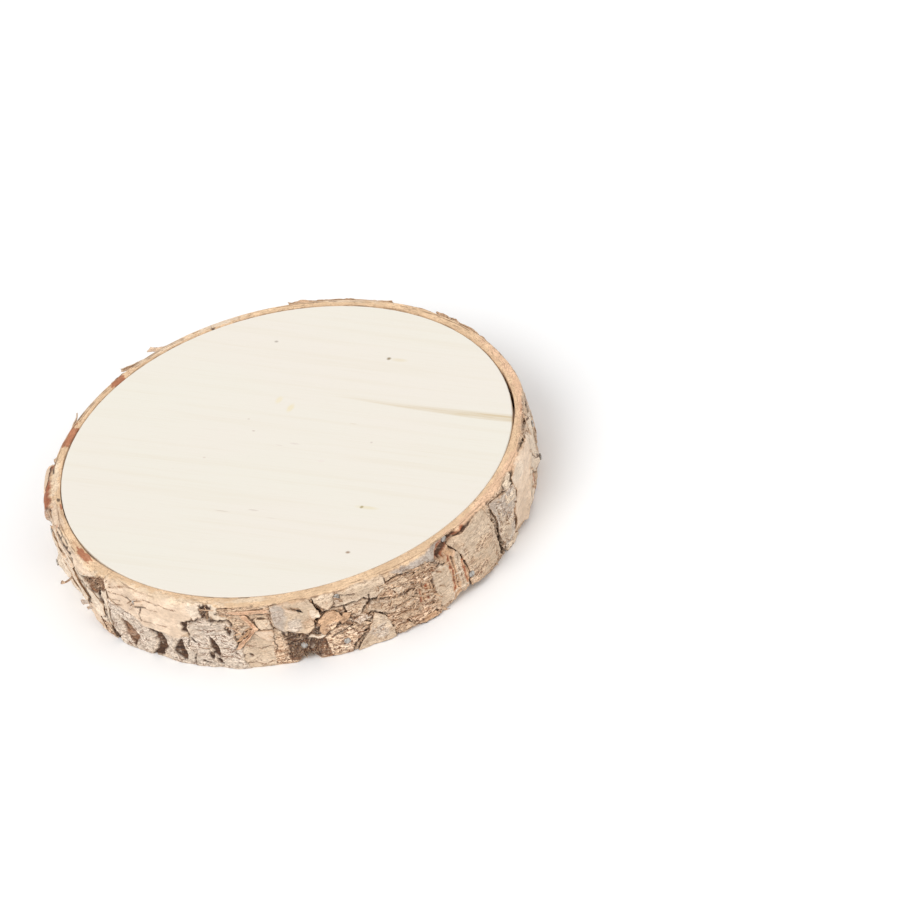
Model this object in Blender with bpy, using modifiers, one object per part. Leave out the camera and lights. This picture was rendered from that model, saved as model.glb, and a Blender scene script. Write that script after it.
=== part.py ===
"""Birch wood slice: a turned disc of pale birch with strips of birch bark nailed round its rim.

Metres, +Z up. The origin is the centre of the disc's lower face. Angles on the rim are in degrees,
counter-clockwise from +X, so the front is at 270.
"""

import math
import random

import bmesh
import bpy

MM = 0.001

# Wood
WOOD_RADIUS = 119 * MM
THICKNESS = 40 * MM
WOOD_SEGMENTS = 96
EDGE_EASE = 0.4 * MM

# Bark, all in millimetres. Each list pairs an angle on the rim with a value there.
BARK_THICKNESS = [
    (0, 6.0), (45, 5.0), (90, 4.6), (135, 4.2), (165, 5.0), (200, 7.2), (240, 7.8), (280, 8.0), (325, 7.2),
]
GAP = 0.45
WIDE_GAPS = [(358, 22, 1.0), (50, 13, 0.6), (158, 14, 0.4), (205, 11, 0.7)]  # angle, half width, extra gap
SHORT_EDGES = [(208, 7, 1.5), (263.5, 3.2, 4.0), (306, 9, 4.5), (60, 12, 2.5), (130, 9, 3.0)]  # and lift
STRIPS = {  # first and last angle of each strip
    "bark_front": (212.0, 382.4),
    "bark_back_right": (22.4, 100.6),
    "bark_back_left": (100.6, 176.0),
    "bark_left": (176.0, 212.0),
}
SEAM = 0.5  # from one strip's end to the next, along the rim
COLUMN_WIDTH = 5.4
ROWS = 6

# Where the outer bark is split or worn away: first and last angle, lowest and highest point, depth.
HOLLOWS = [
    (205, 212, 27, 38, 1.4), (215, 220, 2, 17, 1.2), (226, 229, 1, 18, 1.2), (239, 243, 31, 40, 1.4),
    (259, 266, 2, 19, 1.4), (299, 306, 30, 40, 4.4), (317, 320.5, 2, 36, 2.2), (80, 84, 4, 30, 1.8),
    (36, 40, 8, 34, 1.8), (134, 137, 2, 26, 1.6),
]
# Plates of outer bark: first and last angle, lowest and highest point, and how far they stand out.
PLATES = {
    "bark_front": [
        (213, 225, 4, 30, 0.7), (221, 236, 17, 38, 0.8), (229, 236, 2, 15, 0.6), (236, 247, 1, 30, 1.1),
        (243, 257, 31, 38, 0.9), (248, 259, 2, 22, 0.9), (256, 267, 20, 38, 1.9), (268, 275, 18, 28, 1.1),
        (267, 283, 30, 37, 0.7), (275, 284, 15, 29, 1.2), (278, 285, 1, 14, 1.0), (285, 296, 14, 34, 0.8),
        (286, 295, 1, 13, 1.2), (296, 302, 5, 27, 0.9), (306, 317, 4, 38, 1.9), (321, 330, 3, 36, 1.3),
        (331, 344, 5, 38, 1.9), (346, 357, 8, 33, 1.4), (358, 367, 3, 22, 1.2), (362, 378, 20, 37, 1.6),
    ],
    "bark_back_right": [
        (24, 34, 4, 34, 1.3), (40, 54, 3, 18, 1.6), (43, 58, 22, 37, 1.2), (58, 72, 4, 22, 1.1),
        (72, 80, 16, 38, 1.7), (85, 98, 2, 17, 1.2), (86, 95, 20, 36, 1.7),
    ],
    "bark_back_left": [
        (103, 113, 4, 24, 1.3), (112, 121, 18, 37, 1.2), (119, 133, 3, 17, 1.6), (124, 134, 21, 38, 1.1),
        (138, 147, 6, 36, 1.7), (149, 161, 3, 16, 1.4), (160, 175, 4, 14, 1.0),
    ],
    "bark_left": [
        (178, 196, 8, 34, 2.4), (180, 191, 3, 20, 3.4), (195, 205, 2, 24, 1.5), (203, 210, 5, 22, 0.9),
    ],
}
PLATE_ROOT = 1.3  # how deep a plate's back lies in the bark
RAGGED = 1.4  # how far a plate's outline strays

# Loose flakes: angle and height of the root, direction of the tip (0 along the rim, 90 up), length,
# width, and how far the tip stands off. The root is sunk into the bark.
FLAKES = {
    "bark_front": [
        (258, 30, 180, 9, 13, 2.4), (308, 30, 150, 12, 12, 3.0), (334, 20, -40, 20, 18, 3.2),
        (228, 12, -100, 12, 8, 1.8), (246, 26, 200, 10, 6, 2.2), (290, 14, -70, 13, 16, 2.4),
        (344, 27, 15, 17, 10, 3.0), (356, 16, 0, 14, 13, 3.4), (374, 26, 180, 15, 15, 3.2),
    ],
    "bark_back_right": [
        (67, 25, 0, 30, 22, 4.6), (70, 24, 180, 31, 20, 3.6), (42, 29, 180, 12, 9, 3.0),
        (33, 24, 0, 12, 14, 3.0), (90, 14, 0, 15, 15, 3.4), (47, 12, -60, 15, 15, 3.0),
    ],
    "bark_back_left": [
        (110, 30, 0, 14, 12, 4.6), (118, 25, 0, 16, 17, 6.0), (150, 23, 180, 20, 22, 3.0),
        (156, 21, 0, 39, 30, 5.4), (128, 17, -80, 12, 15, 3.0),
    ],
    "bark_left": [
        (190, 26, -55, 20, 12, 2.6), (199, 21, -60, 20, 10, 2.8), (204, 12, -120, 12, 8, 3.6),
    ],
}
FLAKE_THICKNESS = 0.9
FLAKE_ROOT = 1.6  # how deep the root lies
FLAKE_CELLS = (5, 2)

# Nails, in millimetres: angle and height of each
NAILS = [
    (182, 30), (182, 10), (222, 33), (263, 10), (273, 36.8), (273, 7.5), (303.5, 36.5), (306.8, 11),
    (352, 31), (352, 9), (28, 31), (28, 9), (60, 35), (60, 9), (95, 31), (95, 9), (106, 31), (106, 9),
    (140, 32), (140, 10),
]
NAIL_LENGTH = 20
NAIL_TIP = 3
SHANK_RADIUS = 0.75
HEAD_RADIUS = 1.8
HEAD_HEIGHT = 0.7
NAIL_SIDES = 8
CLEARANCE = 0.3
SEAT_DEPTH = 0.6  # how deep a head is driven into the bark
CUT_HEIGHT = 10  # how far a cutter reaches out of the bark

SEED = 40


def ease(share):
    """0 to 1 with a level start and end."""
    share = min(max(share, 0.0), 1.0)
    return share * share * (3 - 2 * share)


def around(angle, other):
    """The angle from other to angle, between -180 and 180 degrees."""
    return (angle - other + 180) % 360 - 180


def bark_thickness(angle):
    angle %= 360
    stops = BARK_THICKNESS + [(360 + BARK_THICKNESS[0][0], BARK_THICKNESS[0][1])]
    for (first, low), (last, high) in zip(stops, stops[1:]):
        if angle <= last:
            return low + (high - low) * ease((angle - first) / (last - first))
    return stops[-1][1]


def bumps(angle, places):
    """The sum of smooth bumps round the rim, each an angle, a half width and a height."""
    return sum(height * ease(1 - abs(around(angle, middle)) / half) for middle, half, height in places)


def inner_radius(angle):
    return WOOD_RADIUS / MM + GAP + bumps(angle, WIDE_GAPS)


def lower_edge(angle):
    return bumps(angle, SHORT_EDGES)


def within(angle, height, first, last, low, high):
    """1 inside a patch of the rim, 0 outside it, with a soft border."""
    middle, half = (first + last) / 2, (last - first) / 2
    across = ease((half + 0.8 - abs(around(angle, middle))) / 1.2)
    return across * ease((min(height - low, high - height) + 0.8) / 1.6)


def outer_radius(angle, height):
    """The rough outside without its plates."""
    waves = math.sin(math.radians(31 * angle) + 0.35 * height) * math.sin(0.27 * height + angle / 3)
    near_top = ease((THICKNESS / MM - height) / 5)
    radius = inner_radius(angle) + bark_thickness(angle) + (0.55 * waves + 0.2) * near_top
    for first, last, low, high, depth in HOLLOWS:
        radius -= depth * within(angle, height, first, last, low, high)
    return radius


def raised_at(angle, height, plates):
    """How far the highest plate stands out here."""
    out = 0
    for first, last, low, high, raised in plates:
        if first <= angle <= last and low <= height <= high:
            out = max(out, raised)
    return out


def on_rim(angle, radius, height):
    """The point at this angle, radius and height, the last two in millimetres."""
    turned = math.radians(angle)
    return (radius * math.cos(turned) * MM, radius * math.sin(turned) * MM, height * MM)


def new_object(name, mesh, collection):
    obj = bpy.data.objects.new(name, mesh)
    collection.objects.link(obj)
    return obj


def material(name, colour, roughness, metallic):
    made = bpy.data.materials.new(name)
    made.use_nodes = True
    shader = made.node_tree.nodes["Principled BSDF"]
    shader.inputs["Base Color"].default_value = (*colour, 1)
    shader.inputs["Roughness"].default_value = roughness
    shader.inputs["Metallic"].default_value = metallic
    return made


def bark_section(angle):
    """The strip's outline at one angle: up the rough outside, then back down the plain inside."""
    low, top = lower_edge(angle), THICKNESS / MM
    heights = [low + (top - low) * row / ROWS for row in range(ROWS + 1)]
    outside = [on_rim(angle, outer_radius(angle, height), height) for height in heights]
    inside = [on_rim(angle, inner_radius(angle), height) for height in (top, low)]
    return outside + inside


def lofted(name, sections):
    """A closed mesh through sections that all have the same number of points."""
    bm = bmesh.new()
    rings = [[bm.verts.new(point) for point in section] for section in sections]
    for near, far in zip(rings, rings[1:]):
        for index in range(len(near)):
            following = (index + 1) % len(near)
            bm.faces.new((near[index], near[following], far[following], far[index]))
    bm.faces.new(rings[0])
    bm.faces.new(rings[-1])
    bmesh.ops.recalc_face_normals(bm, faces=bm.faces)
    bmesh.ops.triangulate(bm, faces=bm.faces)
    mesh = bpy.data.meshes.new(name)
    bm.to_mesh(mesh)
    bm.free()
    return mesh


def plate_mesh(name, first, last, low, high, raised, draw):
    """A slab that follows the rim, with a ragged outline and its back sunk in the bark."""
    columns = max(2, round(math.radians(last - first) * WOOD_RADIUS / MM / COLUMN_WIDTH))
    sections = []
    for column in range(columns + 1):
        angle = first + (last - first) * column / columns
        bottom = max(low + draw.uniform(-RAGGED, RAGGED), lower_edge(angle) + 0.5)
        top = min(high + draw.uniform(-RAGGED, RAGGED), THICKNESS / MM - 0.8)
        heights = (bottom, (bottom + top) / 2 + draw.uniform(-RAGGED, RAGGED), top)
        sways = [math.degrees(draw.uniform(-RAGGED, RAGGED) * MM / WOOD_RADIUS) for _ in heights]
        ends = column in (0, columns)
        out = raised * (draw.uniform(0.4, 1.0) if ends else draw.uniform(0.85, 1.1))
        outline = [
            on_rim(angle + sway, outer_radius(angle, height) + out, height)
            for height, sway in zip(heights, sways)
        ]
        for height in (top, bottom):
            outline.append(on_rim(angle, outer_radius(angle, height) - PLATE_ROOT, height))
        sections.append(outline)
    return lofted(name, sections)


def flake_mesh(name, angle, height, direction, length, width, lift, draw):
    """A thin curved sheet that leaves the bark at its root and curls away to a ragged tip."""
    bm = bmesh.new()
    columns, rows = FLAKE_CELLS
    bmesh.ops.create_grid(bm, x_segments=columns, y_segments=rows, size=1)
    along = math.cos(math.radians(direction)), math.sin(math.radians(direction))
    root_radius = outer_radius(angle, height)
    lean = draw.uniform(-0.15, 0.15)
    taper = draw.uniform(0.15, 0.55)
    uneven = {}
    for vert in bm.verts:
        share = (vert.co.x + 1) / 2
        side = vert.co.y
        uneven.setdefault(round(side, 3), draw.uniform(-0.25, 0.05))
        reach = length * share * (1 + uneven[round(side, 3)] * share)
        sideways = width / 2 * side * (1 - taper * share) + lean * length * share
        arc = reach * along[0] - sideways * along[1]
        rise = reach * along[1] + sideways * along[0]
        turned = angle + math.degrees(arc / root_radius)
        level = min(max(height + rise, 1.2), THICKNESS / MM - 0.8)
        off = lift * share**1.6 - FLAKE_ROOT * (1 - share) ** 3
        vert.co = on_rim(turned, root_radius + off, level)
    bmesh.ops.recalc_face_normals(bm, faces=bm.faces)
    bmesh.ops.triangulate(bm, faces=bm.faces)
    bmesh.ops.solidify(bm, geom=bm.faces[:], thickness=FLAKE_THICKNESS * MM)
    bmesh.ops.recalc_face_normals(bm, faces=bm.faces)
    mesh = bpy.data.meshes.new(name)
    bm.to_mesh(mesh)
    bm.free()
    return mesh


def applied_boolean(obj, operation, operands):
    """Joins or cuts the object's mesh with every object in the collection, for good."""
    change = obj.modifiers.new(operation.lower(), "BOOLEAN")
    change.operation = operation
    change.operand_type = "COLLECTION"
    change.collection = operands
    graph = bpy.context.evaluated_depsgraph_get()
    mesh = bpy.data.meshes.new_from_object(obj.evaluated_get(graph))
    obj.modifiers.remove(change)
    obj.data = mesh


def join(strip, layers):
    """One union of the strip with all its plates and flakes, which are then removed."""
    applied_boolean(strip, "UNION", layers)
    for layer in list(layers.objects):
        bpy.data.objects.remove(layer)
    bpy.data.collections.remove(layers)


def drop_scraps(mesh):
    """Keeps only the largest of the bodies in a mesh: a nail's seat can cut a corner off a flake."""
    bm = bmesh.new()
    bm.from_mesh(mesh)
    left = set(bm.verts)
    bodies = []
    while left:
        found = {left.pop()}
        edge_of_body = list(found)
        while edge_of_body:
            vert = edge_of_body.pop()
            near = {edge.other_vert(vert) for edge in vert.link_edges} & left
            left -= near
            found |= near
            edge_of_body += near
        bodies.append(found)
    bodies.sort(key=len)
    scraps = [vert for body in bodies[:-1] for vert in body]
    bmesh.ops.delete(bm, geom=scraps, context="VERTS")
    bm.to_mesh(mesh)
    bm.free()


def bark_strip(name, collection, finish, draw):
    first, last = STRIPS[name]
    half_seam = math.degrees(SEAM / 2 / inner_radius(first))
    first, last = first + half_seam, last - half_seam
    columns = round(math.radians(last - first) * inner_radius(first) / COLUMN_WIDTH)
    angles = [first + (last - first) * column / columns for column in range(columns + 1)]
    strip = new_object(name, lofted(name, [bark_section(angle) for angle in angles]), collection)
    layers = bpy.data.collections.new(name + "_layers")
    bpy.context.scene.collection.children.link(layers)
    for plate in PLATES[name]:
        new_object("plate", plate_mesh("plate", *plate, draw), layers)
    for flake in FLAKES[name]:
        new_object("flake", flake_mesh("flake", *flake, draw), layers)
    join(strip, layers)
    strip.data.materials.clear()
    strip.data.materials.append(finish)
    return strip


def wood_disc(collection, finish):
    bpy.ops.mesh.primitive_cylinder_add(
        vertices=WOOD_SEGMENTS, radius=WOOD_RADIUS, depth=THICKNESS, location=(0, 0, THICKNESS / 2)
    )
    disc = bpy.context.object
    disc.name = "wood_disc"
    for used in list(disc.users_collection):
        used.objects.unlink(disc)
    collection.objects.link(disc)
    eased = disc.modifiers.new("eased edges", "BEVEL")
    eased.width = EDGE_EASE
    eased.segments = 1
    eased.limit_method = "ANGLE"
    eased.angle_limit = math.radians(60)
    disc.data.shade_smooth()
    disc.data.set_sharp_from_angle(angle=math.radians(30))
    disc.data.materials.append(finish)
    return disc


def nail_outline():
    """Half a nail's outline from the top down. The head's underside is at 0."""
    points = [(0, HEAD_HEIGHT), (HEAD_RADIUS, HEAD_HEIGHT), (HEAD_RADIUS, 0), (SHANK_RADIUS, 0)]
    points += [(SHANK_RADIUS, NAIL_TIP - NAIL_LENGTH), (0, -NAIL_LENGTH)]
    return points


def hole_outline():
    """The space that a nail needs: its hole, with a flat end, and the seat that its head lies in."""
    hole, seat, end = SHANK_RADIUS + CLEARANCE, HEAD_RADIUS + CLEARANCE, -NAIL_LENGTH - CLEARANCE
    return [(0, CUT_HEIGHT), (seat, CUT_HEIGHT), (seat, -CLEARANCE), (hole, -CLEARANCE), (hole, end), (0, end)]


def outline_mesh(name, points):
    """An open line of (across, up) points, which a Screw modifier turns round Z."""
    mesh = bpy.data.meshes.new(name)
    edges = [(index, index + 1) for index in range(len(points) - 1)]
    mesh.from_pydata([(across * MM, 0, up * MM) for across, up in points], edges, [])
    return mesh


def add_screw(obj):
    screw = obj.modifiers.new("turned", "SCREW")
    screw.steps = NAIL_SIDES
    screw.render_steps = NAIL_SIDES
    screw.use_merge_vertices = True
    screw.merge_threshold = 0.00005
    screw.use_smooth_shade = True


def place_on_rim(obj, angle, height, seat):
    """Turns the object's own Z outwards, with its origin on the seat."""
    obj.location = on_rim(angle, seat, height)
    obj.rotation_euler = (0, math.pi / 2, math.radians(angle))


def nails_and_cutters(collection, cutters, finish):
    nail_mesh = outline_mesh("nail", nail_outline())
    nail_mesh.materials.append(finish)
    cutter_mesh = outline_mesh("nail_cutter", hole_outline())
    plates = [plate for strip_plates in PLATES.values() for plate in strip_plates]
    for number, (angle, height) in enumerate(NAILS, start=1):
        seat = outer_radius(angle, height) + raised_at(angle, height, plates) - SEAT_DEPTH
        nail = new_object(f"nail_{number:02d}", nail_mesh, collection)
        cutter = new_object(f"nail_cutter_{number:02d}", cutter_mesh, cutters)
        for obj in (nail, cutter):
            add_screw(obj)
            place_on_rim(obj, angle, height, seat)
        cutter.hide_render = True
        cutter.display_type = "WIRE"


def main():
    for obj in list(bpy.data.objects):
        bpy.data.objects.remove(obj)
    scene = bpy.context.scene
    parts = bpy.data.collections.new("birch_wood_slice")
    cutters = bpy.data.collections.new("cutters")
    scene.collection.children.link(parts)
    scene.collection.children.link(cutters)
    wood = material("birch_wood", (0.86, 0.80, 0.68), 0.7, 0)
    bark = material("birch_bark", (0.72, 0.52, 0.34), 0.85, 0)
    steel = material("nail_steel", (0.60, 0.61, 0.63), 0.35, 1)
    draw = random.Random(SEED)
    disc = wood_disc(parts, wood)
    strips = [bark_strip(name, parts, bark, draw) for name in STRIPS]
    nails_and_cutters(parts, cutters, steel)
    for piece in [disc] + strips:
        applied_boolean(piece, "DIFFERENCE", cutters)
        drop_scraps(piece.data)


main()
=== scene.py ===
"""The looks of the birch wood slice: its wood, its layered bark, its nails, the light and the camera.

Sizes on the bark are in millimetres and angles round the rim in degrees, counter-clockwise from +X with
the front at 270. A height is measured up from the surface that the slice rests on.
"""

import math
import random

import bpy
import numpy as np
from mathutils import Matrix, Vector


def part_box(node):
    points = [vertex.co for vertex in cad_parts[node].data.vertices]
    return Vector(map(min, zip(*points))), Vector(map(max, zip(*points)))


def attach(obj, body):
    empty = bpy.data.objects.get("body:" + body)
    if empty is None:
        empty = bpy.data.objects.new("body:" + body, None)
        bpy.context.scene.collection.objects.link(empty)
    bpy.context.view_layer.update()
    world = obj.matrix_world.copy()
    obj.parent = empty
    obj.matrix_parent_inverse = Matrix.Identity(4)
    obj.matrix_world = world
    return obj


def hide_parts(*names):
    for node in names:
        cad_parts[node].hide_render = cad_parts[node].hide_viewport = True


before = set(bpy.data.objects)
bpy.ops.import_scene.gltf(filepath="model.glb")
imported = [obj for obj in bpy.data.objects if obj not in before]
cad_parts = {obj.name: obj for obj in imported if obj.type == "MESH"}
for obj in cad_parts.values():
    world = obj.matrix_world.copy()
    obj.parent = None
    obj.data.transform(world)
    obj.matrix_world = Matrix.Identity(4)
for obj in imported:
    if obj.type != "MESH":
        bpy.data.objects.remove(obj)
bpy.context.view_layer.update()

MM = 0.001
WOOD_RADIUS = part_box("wood_disc")[1].x / MM
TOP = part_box("wood_disc")[1].z / MM
BODY = "root"
SEED = 7  # of the fixed noise patterns, each of which adds a number of its own
SEED_RANGE = 9999  # of the seeds drawn for single patches, sheets and flakes
FLAT_RADIUS = WOOD_RADIUS + 6  # where lengths along the bark are measured

# The rim as the solids have it. The bark's width on the upper face, by angle
RING_WIDTH = [
    (0, 6.0), (45, 5.0), (90, 4.6), (135, 4.2), (165, 5.0), (200, 7.2), (240, 7.8), (280, 8.0), (325, 7.2),
]
GAP = 0.45  # between wood and bark
# Where that gap is wider: angle, half angle, how much
WIDE_GAPS = [(358, 22, 1.0), (50, 13, 0.6), (158, 14, 0.3), (204, 15, 0.9)]
# Where the cut upper edge is narrower than the solid's: angle, half angle, how much
PINCHES = [(350, 14, 2.4)]
# Where the side leans in toward the floor: angle, half angle, how far
TAPERS = [(195, 17, 5.0), (330, 22, 3.2)]
# Where the lower edge ends above the floor: angle, half angle, how high
SHORT_EDGES = [(208, 7, 1.5), (263.5, 3.2, 4.0), (306, 9, 4.5), (60, 12, 2.5), (130, 9, 3.0)]
# First and last angle of each strip, and the gap between two strips
STRIPS = {
    "bark_front": (212.0, 382.4),
    "bark_back_right": (22.4, 100.6),
    "bark_back_left": (100.6, 176.0),
    "bark_left": (176.0, 212.0),
}
SEAM = 0.5
# How far the side is rounded off below the upper edge, by angle
SHOULDER = [(0, 1.2), (90, 1.0), (180, 1.6), (225, 3.4), (250, 1.6), (285, 2.2), (330, 2.0)]

# Colours of the bark's layers, as sRGB
SHADES = {
    "ring": (233, 202, 166), "ring_edge": (240, 219, 192), "peach": (231, 208, 184),
    "cream": (236, 219, 198), "white": (229, 216, 201), "grey": (194, 183, 172), "beige": (222, 201, 176),
    "sand": (220, 195, 167), "tan": (222, 184, 148), "orange": (236, 198, 166), "fibre": (249, 221, 191),
    "brown": (146, 114, 90), "crust": (98, 80, 69), "rust": (172, 98, 64), "scar": (74, 54, 43),
    "dark": (24, 16, 12), "torn": (224, 190, 157), "crack": (118, 76, 50), "speckled": (244, 225, 200),
}
# How much each shade shows level lines, dark specks with painted shade in its pits, brown fibres, and how
# rough it is in millimetres
TEXTURE = {
    "ring": (0.30, 0.0, 0.10, 0.03), "ring_edge": (0.2, 0.0, 0.05, 0.04), "peach": (0.2, 0.05, 0.0, 0.05),
    "cream": (0.3, 0.2, 0.05, 0.08), "white": (0.9, 0.6, 0.15, 0.22), "grey": (0.4, 0.35, 0.1, 0.12),
    "beige": (0.4, 0.25, 0.15, 0.10), "sand": (0.6, 0.35, 0.4, 0.14), "tan": (0.2, 0.1, 0.3, 0.10),
    "orange": (0.3, 0.05, 0.4, 0.10), "fibre": (0.9, 0.4, 1.0, 0.32), "brown": (0.6, 0.7, 0.9, 0.42),
    "crust": (0.2, 1.0, 0.5, 0.62), "rust": (0.2, 0.4, 0.5, 0.15), "scar": (0.0, 0.8, 0.4, 0.55),
    "dark": (0.0, 0.3, 0.3, 0.3), "torn": (0.2, 0.1, 0.4, 0.15), "crack": (0.0, 0.3, 0.4, 0.3),
    "speckled": (0.5, 0.3, 0.15, 0.22),
}

HOLLOW_EDGE = 2.0  # how many degrees their sides take
# Broad hollows: first and last angle, lowest and highest point, depth
HOLLOWS = [
    (205, 212, 27, 38, 1.4), (215, 220, 2, 17, 1.2), (226, 229, 1, 18, 1.2), (239, 243, 31, 40, 1.4),
    (259, 266, 2, 19, 1.4), (299, 306, 30, 40, 3.0), (317, 320.5, 2, 36, 1.0), (80, 84, 4, 30, 1.8),
    (36, 40, 8, 34, 1.8), (134, 137, 2, 26, 1.6),
]

# Soft patches of colour under the others: shade, angle, height, half angle and half height
STAINS = [
    ("beige", 252, 10, 5, 12), ("crust", 262.5, 13, 4.4, 10), ("fibre", 273, 18, 6, 8),
    ("sand", 281, 30, 9, 9), ("fibre", 290, 16, 8, 16), ("rust", 303, 35, 3.4, 5), ("rust", 172, 30, 7, 12),
    ("fibre", 190, 20, 14, 20), ("rust", 341, 7, 6, 7), ("fibre", 350, 22, 9, 16), ("brown", 20, 14, 6, 12),
    ("crust", 60, 10, 7, 9), ("fibre", 45, 22, 12, 18), ("cream", 84, 26, 9, 12), ("brown", 96, 12, 5, 8),
    ("fibre", 110, 14, 9, 14), ("rust", 122, 26, 5, 10), ("crust", 130, 9, 6, 8), ("brown", 145, 20, 6, 16),
    ("white", 160, 30, 8, 8), ("fibre", 158, 12, 9, 10),
]

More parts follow.
